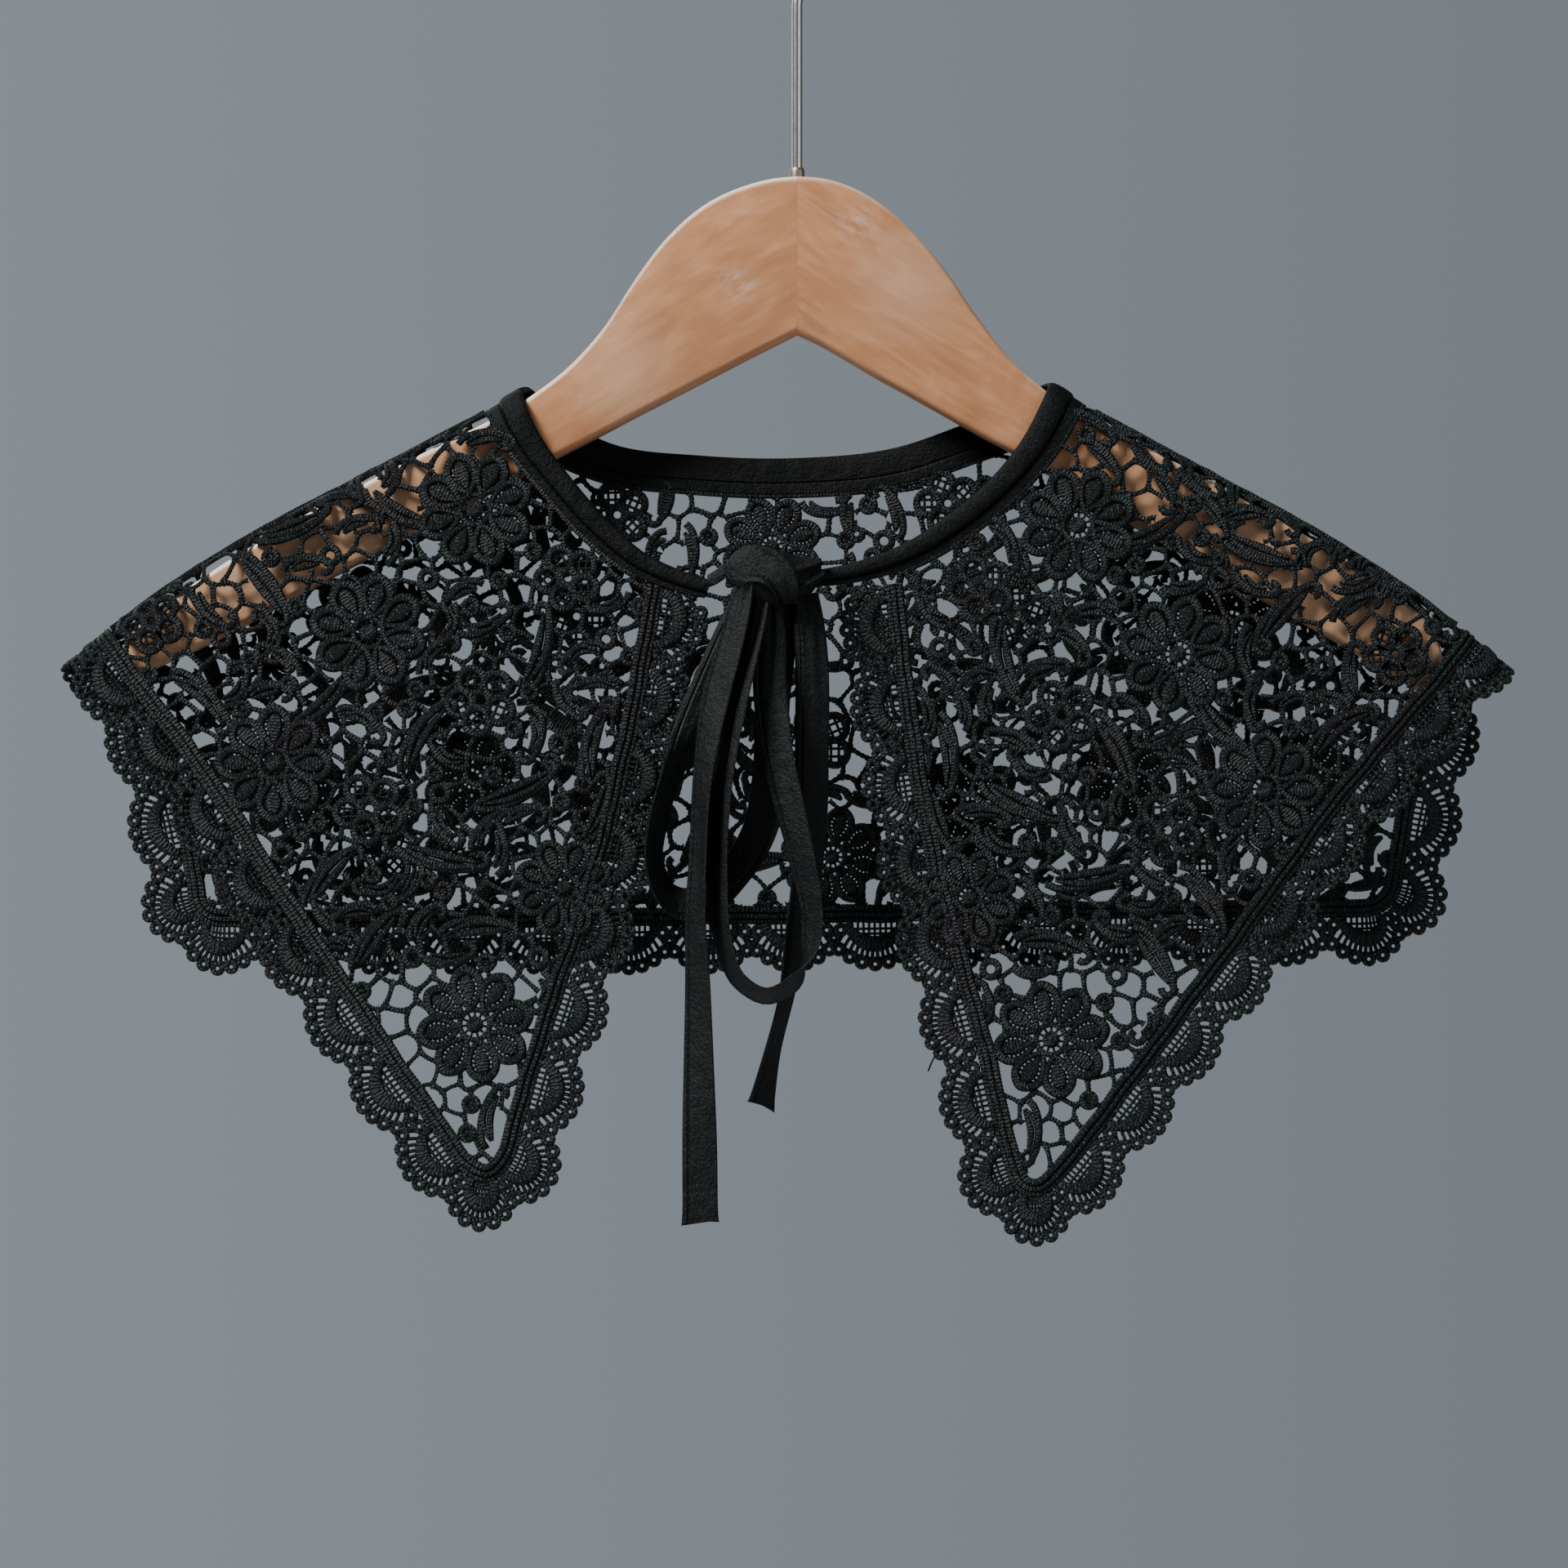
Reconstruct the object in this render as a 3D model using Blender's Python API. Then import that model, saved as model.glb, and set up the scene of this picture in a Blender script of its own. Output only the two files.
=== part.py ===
"""Lace collar scarf with pointed fronts and a ribbon tie, hung on a flat wooden hanger.

Z points up, -Y is the front, and the origin is the inside of the hook's top, where a rail
bears.  Tables are in millimetres and build() turns them into metres.  The cloth is worked
out flat, as points (x, z), and drape() then lays it over the hanger's arms: a quarter turn
over the shoulder, then straight down, in front of the arms or behind them.
"""
import math

import bmesh
import bpy
import numpy as np
from mathutils import Vector
from mathutils.geometry import delaunay_2d_cdt

MM = 0.001
SEAM_GAP = 0.3

# Wooden hanger
CROWN_TOP = 110.0          # depth of the wood's top below the hook's bearing point
ARM_HALF_DEPTH = 6.0
ARM_BEVEL = 2.5
ARM_END_ROUND = 9.0
WOOD_UNDER_CLOTH = 3.4     # the wood's edge lies this far below the cloth's fold
SHANK_DEPTH = 26.0
WIRE_RADIUS = 1.8
HOOK_INNER_RADIUS = 20.0
HOOK_JOIN = math.radians(-70.0)    # where the small bend runs into the hook's round
HOOK_END = math.radians(205.0)
WIRE_SIDES = 12
HOOK_COLLAR = [(2.1, 0.3), (2.9, 0.3), (2.9, 2.6), (2.5, 3.4), (2.1, 3.4)]   # radius, height

# Cloth
CLOTH_WALL = 1.6
FOLD_RADIUS = 9.0          # middle of the wall, where it turns over an arm
FOLD_LIFT = 5.4            # how far the shoulder rounds up over its chord
FOLD_BEYOND = 20.0         # the fold's line runs on this far past the shoulder's tip
FOLD_STEP = 14.0
BEND_STEP = 0.6            # largest turn, in radians, that one side of a facet may span
COLLAR_TILT = math.radians(1.5)
COLLAR_SHIFT = -4.0
WAVE_DEPTH = 1.3
RIBBON_WIDTH = 12.0
RIBBON_WALL = 1.2
SIDE_NAME = {-1: "left", 1: "right"}

# Lace
CORD_BAND = 3.2            # half width of the double cord along each lace edge
SCALLOP_PITCH = 28.0
SCALLOP_VALLEY = 15.0
SCALLOP_RISE = 7.5
CELL_PITCH = 9.6
CELL_SCATTER = 0.42
BRIDE_WIDTH = 1.9          # the stitched bars between the gaps
MOTIF_MARGIN = 0.9
CUT_GAP = 4.0              # smaller gaps are left uncut
FRONT_GAPS = 86
BACK_GAPS = 124
TIP_ROUNDING = 22.0
CORNER_ROUNDING = 8.0
SHORT_SIDE = 0.8           # sides shorter than this are left out of an outline
GAP_SIDE = 1.1             # and sides shorter than this are left out of a gap

# Arm edges on each side: distance from the middle, depth of the top, depth of the underside
LEFT_ARM = [
    # out, top, bottom
    (0.15, 110.0, 163.8), (8.0, 110.7, 167.8), (16.5, 112.8, 172.1), (30.8, 119.2, 179.5),
    (45.1, 131.6, 186.9), (55.2, 145.0, 192.1), (66.4, 162.1, 198.0), (78.0, 175.0, 204.0)]
RIGHT_ARM = [
    (0.15, 110.0, 163.8), (8.0, 110.5, 167.5), (16.5, 112.8, 172.4), (27.0, 118.2, 178.6),
    (41.0, 130.5, 186.3), (51.0, 142.6, 191.9), (61.0, 157.2, 197.6), (74.0, 173.6, 204.6)]
# Under the cloth the top follows the fold, and the underside runs on to these places
LEFT_UNDERSIDE = [(92.0, 211.2), (129.2, 231.0), (166.7, 251.0), (200.8, 269.5), (222.0, 279.0)]
RIGHT_UNDERSIDE = [(88.0, 213.0), (118.2, 231.0), (149.2, 248.9), (192.1, 273.4), (212.0, 285.5)]

# Shoulder folds, from the neck to the tip of the shoulder, as (x, z)
FOLD_ENDS = {-1: ((-94.1, -183.4), (-250.9, -277.2)), 1: ((87.9, -182.0), (244.7, -278.6))}

# Half of the collar's front, with a out from its middle line and b down from the crown
FRONT_CORD = [
    (40.6, 138.5), (44.4, 165.0), (47.6, 186.0), (51.8, 208.0), (57.0, 233.0), (61.0, 249.0),
    (67.0, 267.0), (72.5, 283.0), (77.2, 301.0), (82.0, 318.0), (85.4, 334.0), (91.0, 358.0),
    (106.0, 333.0), (121.0, 312.5), (136.0, 290.0), (161.0, 255.0), (178.0, 230.0),
    (196.0, 203.0), (215.0, 181.0), (231.0, 160.0), (262.0, 121.0)]
FRONT_NECK = [
    # open a, open b, lace a, lace b
    (88.0, 75.0, 100.5, 80.0), (81.5, 90.5, 92.5, 95.0), (70.5, 104.5, 79.5, 110.0),
    (57.0, 117.5, 63.5, 123.0), (44.2, 127.2, 49.0, 132.4), (30.0, 133.3, 34.0, 138.0),
    (16.4, 136.9, 17.2, 141.4)]
NECK_END = {-1: 25.2, 1: 11.0}      # the bindings stop this far out from the collar's middle
FRONT_GATE = [(44.5, 135.4), (19.0, 142.6)]     # the edging stops on this line, below the binding
BACK_NECK = [
    # open x, open z, lace x, lace z
    (-91.5, -183.0, -104.0, -189.5), (-82.0, -190.5, -91.5, -201.5), (-65.0, -200.0, -70.0, -212.0),
    (-33.0, -204.5, -35.0, -217.0), (0.0, -205.3, 0.0, -218.0), (35.0, -201.5, 38.0, -214.0),
    (54.0, -195.0, 60.5, -206.5), (73.0, -187.5, 82.0, -198.0), (85.5, -182.0, 97.5, -189.0)]
BACK_CORD = [
    (-262.0, -240.0), (-241.0, -265.0), (-227.5, -281.0), (-217.0, -306.0), (-210.0, -334.0),
    (-205.8, -363.7), (-100.0, -364.0), (0.0, -362.5), (100.0, -361.0), (203.8, -360.3),
    (209.0, -330.0), (215.0, -303.0), (220.0, -280.0), (234.0, -262.0), (256.0, -236.0)]

# Lace motifs, each a disc or a long leaf that the gaps keep clear of
FRONT_MOTIFS = [
    # a, b, radius, length, turn in degrees
    (102.8, 117.0, 20.0, 0, 0), (138.0, 160.0, 20.0, 0, 0), (169.0, 205.5, 20.0, 0, 0),
    (98.3, 292.5, 20.0, 0, 0), (69.0, 245.0, 17.0, 0, 0),
    (70.5, 139.5, 12.0, 0, 0), (99.0, 182.0, 13.0, 0, 0), (136.0, 220.0, 13.0, 0, 0),
    (212.0, 158.0, 11.5, 0, 0),
    (151.6, 134.0, 4.0, 0, 0), (188.0, 163.0, 4.0, 0, 0), (165.0, 236.0, 4.0, 0, 0),
    (112.0, 214.0, 4.0, 0, 0), (57.0, 160.0, 4.0, 0, 0), (77.0, 269.0, 4.0, 0, 0),
    (120.0, 270.0, 4.0, 0, 0), (72.0, 196.0, 4.0, 0, 0), (118.0, 141.0, 4.0, 0, 0),
    (128.0, 118.0, 4.2, 15, -28), (165.0, 124.0, 4.2, 14, 20), (174.0, 145.0, 4.2, 16, -50),
    (153.5, 184.0, 4.2, 18, 45), (194.0, 184.0, 4.2, 15, -40), (118.0, 194.0, 4.4, 16, 60),
    (80.0, 164.0, 4.4, 17, 75), (86.0, 212.0, 4.4, 17, 25), (111.0, 236.0, 4.4, 18, -12),
    (149.0, 243.0, 4.2, 14, 52), (98.0, 260.0, 4.2, 13, 8), (133.0, 264.0, 4.2, 13, 55),
    (92.0, 327.0, 3.4, 10, 84), (60.0, 196.0, 4.0, 15, 80), (58.0, 218.0, 3.8, 11, 70)]
BACK_MOTIFS = [
    # x, z, radius, length, turn in degrees
    (-8.7, -236.0, 17.5, 0, 0), (12.0, -343.0, 17.5, 0, 0), (-62.0, -225.0, 12.0, 0, 0),
    (52.0, -221.0, 12.0, 0, 0), (7.0, -303.0, 13.0, 0, 0), (-29.0, -332.0, 4.0, 0, 0),
    (-22.0, -272.0, 4.2, 16, 65), (26.0, -262.0, 4.2, 16, -50), (-36.0, -249.0, 4.0, 0, 0),
    (30.0, -234.0, 4.0, 0, 0), (-30.0, -305.0, 4.2, 16, 40), (33.0, -300.0, 4.2, 16, -60),
    (-14.0, -346.0, 4.0, 12, 15), (38.0, -342.0, 4.0, 12, -25)]
BACK_PAIRS = [
    (74.0, -262.0, 19.0, 0, 0), (112.0, -312.0, 19.0, 0, 0), (60.0, -326.0, 19.0, 0, 0),
    (150.0, -262.0, 19.0, 0, 0), (176.0, -318.0, 19.0, 0, 0), (112.0, -232.0, 12.0, 0, 0),
    (84.0, -297.0, 4.2, 15, 30), (142.0, -340.0, 12.0, 0, 0), (205.0, -276.0, 4.2, 14, 60),
    (136.0, -288.0, 4.2, 15, -35), (100.0, -342.0, 4.0, 0, 0), (184.0, -284.0, 4.0, 0, 0)]

# Tie stretches: middle of the ribbon and the direction of its width, from the knot onwards
LONG_TAIL = [
    # x, y, z, width x, width y, width z
    (-18.6, -20.4, -253.2, 0.86, -0.50, 0.0), (-21.4, -21.4, -266.0, 0.80, -0.60, 0.0),
    (-27.4, -22.2, -288.0, 0.81, -0.59, 0.0), (-31.8, -23.0, -314.0, 0.55, -0.83, 0.0),
    (-33.5, -23.0, -340.0, 0.50, -0.87, 0.0), (-34.4, -23.0, -363.0, 0.57, -0.82, 0.0),
    (-33.8, -20.6, -383.0, 0.70, -0.71, 0.0), (-33.3, -18.4, -419.0, 0.90, -0.44, 0.0),
    (-33.0, -17.0, -450.0, 1.00, -0.05, 0.0), (-32.9, -16.6, -466.3, 1.00, 0.0, 0.0)]
FRONT_LOOP = [
    (-13.8, -18.6, -256.5, 0.97, -0.15, 0.0), (-17.0, -20.2, -272.0, 0.80, -0.60, 0.0),
    (-20.4, -21.6, -290.0, 0.62, -0.78, 0.0), (-26.0, -22.4, -322.5, 0.60, -0.80, 0.0),
    (-27.2, -22.6, -350.0, 0.60, -0.80, 0.05), (-25.0, -22.8, -371.0, 0.45, -0.85, 0.25),
    (-19.5, -23.0, -384.5, 0.25, -0.88, 0.42), (-10.5, -23.0, -389.5, 0.0, -0.87, 0.50),
    (-1.2, -22.8, -385.0, -0.25, -0.88, 0.40), (4.0, -22.4, -374.0, 0.45, -0.85, 0.20),
    (4.9, -22.2, -362.0, 0.60, -0.80, 0.0), (2.2, -22.2, -346.0, 0.70, -0.71, 0.0),
    (-2.5, -21.6, -326.0, 0.83, -0.55, 0.0), (-7.0, -20.2, -306.0, 0.90, -0.42, 0.0),
    (-9.3, -18.6, -284.0, 0.98, -0.18, 0.0), (-9.4, -17.2, -268.0, 1.00, -0.05, 0.0),
    (-9.6, -16.4, -257.0, 1.00, 0.0, 0.0)]
BACK_LOOP = [
    (-17.6, -12.4, -255.4, 0.99, 0.05, 0.0), (-27.5, -13.6, -278.5, 0.97, 0.10, 0.1),
    (-35.0, -14.8, -296.0, 0.92, 0.26, 0.2), (-42.5, -17.2, -314.0, 0.62, 0.76, 0.1),
    (-47.6, -17.8, -333.0, 0.50, 0.86, 0.0), (-48.6, -18.0, -344.5, 0.45, 0.88, 0.0),
    (-45.8, -17.0, -353.5, 0.35, 0.75, 0.45), (-39.5, -14.6, -358.5, 0.10, 0.40, 0.90),
    (-31.0, -13.8, -357.0, -0.35, 0.30, 0.88), (-21.5, -13.6, -348.0, -0.62, 0.28, 0.72),
    (-13.0, -13.8, -334.0, -0.80, 0.16, 0.52), (-9.4, -13.8, -316.0, -0.96, 0.0, 0.15),
    (-8.4, -13.4, -290.0, -0.98, -0.10, 0.0), (-5.6, -12.4, -268.0, -0.98, -0.15, 0.0),
    (-4.6, -12.2, -256.9, -1.00, -0.05, 0.0)]
SHORT_TAIL = [
    (3.4, -14.6, -256.6, 0.98, 0.18, 0.0), (4.9, -13.6, -275.0, 0.98, 0.20, 0.0),
    (5.0, -12.8, -305.0, 0.96, 0.26, 0.0), (4.6, -12.4, -330.0, 0.92, 0.36, 0.0),
    (2.8, -12.2, -352.0, 0.88, 0.44, 0.0), (-0.4, -12.0, -370.0, 0.84, 0.50, 0.0),
    (-3.6, -12.0, -390.0, 0.82, 0.52, 0.0), (-8.7, -12.4, -410.0, 0.78, 0.56, 0.2),
    (-12.4, -12.8, -427.0, 0.85, 0.40, 0.35)]
TIE_FEED = [
    # x, y, z, half height, half depth
    (-30.6, -12.5, -246.6, 2.0, 1.2), (-27.6, -13.4, -246.0, 2.4, 1.6), (-24.6, -14.8, -244.8, 2.6, 1.8)]
KNOT = [
    (-24.2, -15.6, -246.0, 3.0, 2.8), (-21.5, -16.2, -245.4, 6.0, 4.8), (-17.0, -16.8, -245.6, 8.6, 6.2),
    (-11.0, -16.9, -246.6, 9.8, 6.5), (-5.0, -16.6, -247.6, 9.0, 6.2), (0.0, -15.8, -248.2, 7.4, 5.2),
    (4.6, -14.6, -247.2, 6.0, 3.6), (8.2, -13.2, -244.6, 3.6, 2.0)]


def finish(name, colour, roughness, metallic=0.0):
    """A plain material."""
    material = bpy.data.materials.new(name)
    material.use_nodes = True
    shader = material.node_tree.nodes["Principled BSDF"]
    shader.inputs["Base Color"].default_value = (*colour, 1.0)
    shader.inputs["Roughness"].default_value = roughness
    shader.inputs["Metallic"].default_value = metallic
    return material


def curve(rows, count):
    """Points evenly along a smooth curve through the rows, all columns alike."""
    rows = np.asarray(rows, float)
    at = np.r_[0.0, np.cumsum(np.linalg.norm(np.diff(rows, axis=0), axis=1))]
    slope = np.gradient(rows, at, axis=0)
    want = np.linspace(0.0, at[-1], count)
    piece = np.clip(np.searchsorted(at, want, side="right") - 1, 0, len(rows) - 2)
    width = (at[piece + 1] - at[piece])[:, None]
    t = (want - at[piece])[:, None] / width
    return ((2 * t**3 - 3 * t**2 + 1) * rows[piece] + (t**3 - 2 * t**2 + t) * width * slope[piece]
            + (3 * t**2 - 2 * t**3) * rows[piece + 1] + (t**3 - t**2) * width * slope[piece + 1])


def even(points, step):
    """The polyline sampled again at an even step."""
    at = np.r_[0.0, np.cumsum(np.linalg.norm(np.diff(points, axis=0), axis=1))]
    want = np.linspace(0.0, at[-1], max(2, round(at[-1] / step) + 1))
    return np.column_stack([np.interp(want, at, column) for column in points.T])


def rounded_route(rows, reach):
    """The rows joined by straight runs whose corners are rounded, at a step of 1 mm."""
    points = even(np.asarray(rows, float), 1.0)
    reach = round(reach)
    before = 2 * points[0] - points[reach:0:-1]
    after = 2 * points[-1] - points[-2:-reach - 2:-1]
    mean = np.ones(2 * reach + 1) / (2 * reach + 1)
    padded = np.vstack([before, points, after])
    return np.column_stack([np.convolve(column, mean, "valid") for column in padded.T])


def inside(polygon, points):
    """Which of the points lie inside the polygon."""
    x, y = points[:, :1], points[:, 1:]
    here, there = polygon, np.roll(polygon, -1, axis=0)
    rise = there[:, 1] - here[:, 1]
    rise = np.where(rise == 0, 1e-12, rise)
    crossing = here[:, 0] + (y - here[:, 1]) * (there[:, 0] - here[:, 0]) / rise
    return (((here[:, 1] > y) != (there[:, 1] > y)) & (x < crossing)).sum(axis=1) % 2 == 1


def clip(polygon, depth):
    """The part of the polygon where the depth, given at its points, is above zero."""
    kept = []
    for k in range(len(polygon)):
        if (depth[k - 1] > 0) != (depth[k] > 0):
            share = depth[k - 1] / (depth[k - 1] - depth[k])
            kept.append(polygon[k - 1] + share * (polygon[k] - polygon[k - 1]))
        if depth[k] > 0:
            kept.append(polygon[k])
    return np.array(kept)


def area_of(polygon):
    """Signed area, positive for a polygon that runs anticlockwise."""
    x, y = polygon.T
    return 0.5 * float(np.sum(x * np.roll(y, -1) - y * np.roll(x, -1)))


def hang(points, side):
    """Half-collar points (a, b) to flat world points (x, z) on one side."""
    a, b = side * points[:, 0], -points[:, 1]
    cos, sin = math.cos(COLLAR_TILT), math.sin(COLLAR_TILT)
    return np.column_stack([cos * a + sin * b + COLLAR_SHIFT, cos * b - sin * a - CROWN_TOP])


def fold_frame(side):
    """Start of a shoulder's fold, its length, and its directions along and down the cloth."""
    start, end = (np.array(point) for point in FOLD_ENDS[side])
    length = np.linalg.norm(end - start)
    along = (end - start) / length
    return start, length, along, side * np.array([along[1], -along[0]])


def below_fold(points, side):
    """How far flat points lie below the silhouette of a shoulder's fold."""
    start, length, along, down = fold_frame(side)
    share = np.clip((points - start) @ along / length, 0.0, 1.0)
    return (points - start) @ down + FOLD_LIFT * np.sin(np.pi * share**1.5)


# The flat cloth reaches this far above the silhouette, to the seam on top of the fold
FOLD_TOP = -(math.pi / 2 - 1) * FOLD_RADIUS + SEAM_GAP / 2


def to_fold(point, side):
    """The flat point moved along the cloth onto the seam on top of the fold."""
    point = np.asarray(point, float)
    down = fold_frame(side)[3]
    for _ in range(3):
        point = point + down * (FOLD_TOP - below_fold(point[None], side)[0])
    return point


def drape(points, height, face):
    """Flat cloth points to the hung cloth; face is -1 in front of the arms and 1 behind."""
    height = np.broadcast_to(height, len(points))
    hung = np.empty((len(points), 3))
    for side in (-1, 1):
        mine = (points[:, 0] > COLLAR_SHIFT) == (side > 0)
        flat = points[mine]
        drop = below_fold(flat, side)
        run = fold_run(flat)
        turn = np.minimum(run / FOLD_RADIUS, np.pi / 2)
        radius = FOLD_RADIUS + height[mine]
        straight = np.maximum(run - FOLD_RADIUS * np.pi / 2, 0.0)
        lower = FOLD_RADIUS - radius * np.cos(turn) + straight - drop
        ease = np.clip((run - 35.0) / 60.0, 0.0, 1.0)
        wave = WAVE_DEPTH * ease * np.sin(flat[:, 0] / 19.0 + 0.7 * face) * np.sin(flat[:, 1] / 37.0)
        hung[mine, 0::2] = flat + lower[:, None] * fold_frame(side)[3]
        hung[mine, 1] = face * (radius * np.sin(turn) + wave)
    return hung


def scatter(index, salt):
    """A number from 0 to 1 for each index, uneven but the same each time."""
    return (np.sin(index * 12.9898 + salt * 78.233) * 43758.5453) % 1.0


def motif_spines(rows):
    """Both ends of each motif's middle line, and its radius."""
    x, z, radius, length, turn = np.array(rows, float).T
    reach = 0.5 * length[:, None] * np.column_stack([np.cos(np.radians(turn)), np.sin(np.radians(turn))])
    middle = np.column_stack([x, z])
    return middle - reach, middle + reach, radius


def lace_cells(outline, motifs, margin):
    """Gaps of the lace: each is the region nearest to its seed, less the bars around it."""
    low, high = outline.min(axis=0), outline.max(axis=0)
    across = int((high[0] - low[0]) / CELL_PITCH) + 2
    rows = int((high[1] - low[1]) / (0.866 * CELL_PITCH)) + 2
    index = np.arange(across * rows)
    row, column = np.divmod(index, across)
    grid = np.column_stack([column + 0.5 * (row % 2), 0.866 * row])
    move = CELL_SCATTER * (np.column_stack([scatter(index, 1), scatter(index, 2)]) - 0.5)
    seeds = low + CELL_PITCH * (grid + move)

    start, end, radius = motif_spines(motifs)
    span = end - start
    length = np.maximum((span**2).sum(axis=1), 1e-9)
    share = np.clip(((seeds[:, None] - start) * span).sum(axis=2) / length, 0.0, 1.0)
    spine = start + share[..., None] * span
    clear = np.linalg.norm(seeds[:, None] - spine, axis=2) - radius
    kept = inside(outline, seeds) & (clear.min(axis=1) > 0.25 * CELL_PITCH)
    seeds, spine, clear = seeds[kept], spine[kept], clear[kept]

    corner = np.linspace(0.0, 2 * np.pi, 12, endpoint=False)
    disc = 0.8 * CELL_PITCH * np.column_stack([np.cos(corner), np.sin(corner)])
    edge = np.roll(outline, -1, axis=0) - outline
    inward = np.column_stack([-edge[:, 1], edge[:, 0]]) * np.sign(area_of(outline))
    inward /= np.linalg.norm(inward, axis=1)[:, None]
    centre = outline + 0.5 * edge
    reach = 0.5 * np.linalg.norm(edge, axis=1) + CELL_PITCH
    cells = []
    for k, seed in enumerate(seeds):
        cell = seed + disc
        away = seeds - seed
        gap = np.linalg.norm(away, axis=1)
        for other in np.flatnonzero((gap > 0) & (gap < 2 * CELL_PITCH)):
            normal = away[other] / gap[other]
            cell = clip(cell, 0.5 * (gap[other] - BRIDE_WIDTH) - (cell - seed) @ normal)
        for other in np.flatnonzero(clear[k] < CELL_PITCH):
            normal = seed - spine[k, other]
            normal /= np.linalg.norm(normal)
            cell = clip(cell, (cell - spine[k, other]) @ normal - radius[other] - MOTIF_MARGIN)
        for other in np.flatnonzero(np.linalg.norm(centre - seed, axis=1) < reach):
            cell = clip(cell, (cell - outline[other]) @ inward[other] - margin) if len(cell) > 2 else cell
        if len(cell) > 2:
            cells.append(without_short_sides(cell, GAP_SIDE))
    return cells


def without_short_sides(polygon, least):
    """The polygon with each point dropped that is closer than least to the one kept before it."""
    kept = [polygon[0]]
    for point in polygon[1:]:
        if np.linalg.norm(point - kept[-1]) >= least:
            kept.append(point)
    if len(kept) > 3 and np.linalg.norm(kept[0] - kept[-1]) < least:
        kept.pop()
    return np.array(kept)


def largest_gaps(cells, count):
    """The largest cells that are wider than the least gap that is cut."""
    def width(cell):
        around = np.linalg.norm(cell - np.roll(cell, 1, axis=0), axis=1).sum()
        return 4.0 * abs(area_of(cell)) / around
    wide = [cell for cell in cells if len(cell) > 2 and width(cell) > CUT_GAP]
    return sorted(wide, key=lambda cell: -abs(area_of(cell)))[:count]


def build(name, points, faces, material):
    """One closed object from points in millimetres."""
    mesh = bpy.data.meshes.new(name)
    mesh.from_pydata((np.asarray(points) * MM).tolist(), [], faces)
    shape = bmesh.new()
    shape.from_mesh(mesh)
    bmesh.ops.recalc_face_normals(shape, faces=shape.faces)
    shape.to_mesh(mesh)
    shape.free()
    mesh.materials.append(material)
    item = bpy.data.objects.new(name, mesh)
    bpy.context.scene.collection.objects.link(item)
    return item


def loft(name, rings, material):
    """A closed solid through rings of points, with flat ends."""
    stations, around = rings.shape[:2]
    k, j = np.divmod(np.arange((stations - 1) * around), around)
    after = (j + 1) % around
    sides = np.column_stack([k * around + j, k * around + after,
                             (k + 1) * around + after, (k + 1) * around + j])
    last = (stations - 1) * around
    ends = [list(range(around))[::-1], list(range(last, last + around))]
    return build(name, rings.reshape(-1, 3), sides.tolist() + ends, material)


def fold_run(points):
    """How far flat points lie along the cloth from the seam on top of their own fold."""
    drop = np.where(points[:, 0] > COLLAR_SHIFT, below_fold(points, 1), below_fold(points, -1))
    return np.maximum(drop - FOLD_TOP + SEAM_GAP / 2, 0.0)


def halfway(here, there):
    """Points halfway round the fold between two sets of flat points, and the turn each pair spans."""
    run = np.column_stack([fold_run(here), fold_run(there)])
    turn = np.minimum(run / FOLD_RADIUS, np.pi / 2)
    span = turn[:, 1] - turn[:, 0]
    rise = np.where(span == 0, 1.0, run[:, 1] - run[:, 0])
    share = (FOLD_RADIUS * turn.mean(axis=1) - run[:, 0]) / rise
    return here + np.clip(share, 0.0, 1.0)[:, None] * (there - here), np.abs(span)


def split_bends(loop):
    """The loop with one more point on each side that would cut across a fold."""
    middle, span = halfway(loop, np.roll(loop, -1, axis=0))
    both = np.stack([loop, middle], axis=1).reshape(-1, 2)
    return both[np.column_stack([span > -1.0, span > BEND_STEP]).ravel()]


def triangulate(loops, extra):
    """Flat triangles inside the first loop and outside the others."""
    corners = [Vector(point) for point in np.vstack(loops + [extra])]
    edges, first = [], 0
    for loop in loops:
        edges += [(first + k, first + (k + 1) % len(loop)) for k in range(len(loop))]
        first += len(loop)
    found = delaunay_2d_cdt(corners, edges, [], 1, 1e-5, False)
    flat = np.array([tuple(point) for point in found[0]])
    triangles = np.array([list(triangle) for triangle in found[2]])
    middle = flat[triangles].mean(axis=1)
    kept = inside(loops[0], middle)
    for hole in loops[1:]:
        kept &= ~inside(hole, middle)
    triangles = triangles[kept]
    used = np.unique(triangles)
    return flat[used], np.searchsorted(used, triangles)


def panel(name, outline, holes, face, material):
    """A wall of cloth with holes, cut flat and then draped."""
    loops = [split_bends(loop) for loop in [outline] + holes]
    extra = np.empty((0, 2))
    for _ in range(3):
        flat, triangles = triangulate(loops, extra)
        sides = np.vstack([triangles[:, [0, 1]], triangles[:, [1, 2]], triangles[:, [2, 0]]])
        middle, span = halfway(flat[sides[:, 0]], flat[sides[:, 1]])
        for point in middle[span > BEND_STEP]:
            taken = np.vstack([flat, extra])
            if np.linalg.norm(taken - point, axis=1).min() > 0.25 * FOLD_RADIUS:
                extra = np.vstack([extra, point])
    flat, triangles = triangulate(loops, extra)

    count = len(flat)
    points = np.vstack([drape(flat, 0.5 * CLOTH_WALL, face), drape(flat, -0.5 * CLOTH_WALL, face)])
    sides = np.vstack([triangles[:, [0, 1]], triangles[:, [1, 2]], triangles[:, [2, 0]]])
    there = {tuple(pair) for pair in sides.tolist()}
    rim = [(a, b) for a, b in there if (b, a) not in there]
    faces = triangles.tolist() + (triangles[:, ::-1] + count).tolist()
    faces += [[b, a, a + count, b + count] for a, b in rim]
    return build(name, points, faces, material)


def offset_route(route, distance):
    """The route moved sideways, to the left of its direction."""
    step = np.gradient(route, axis=0)
    step /= np.linalg.norm(step, axis=1)[:, None]
    return route + np.asarray(distance)[..., None] * np.column_stack([-step[:, 1], step[:, 0]])


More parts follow.
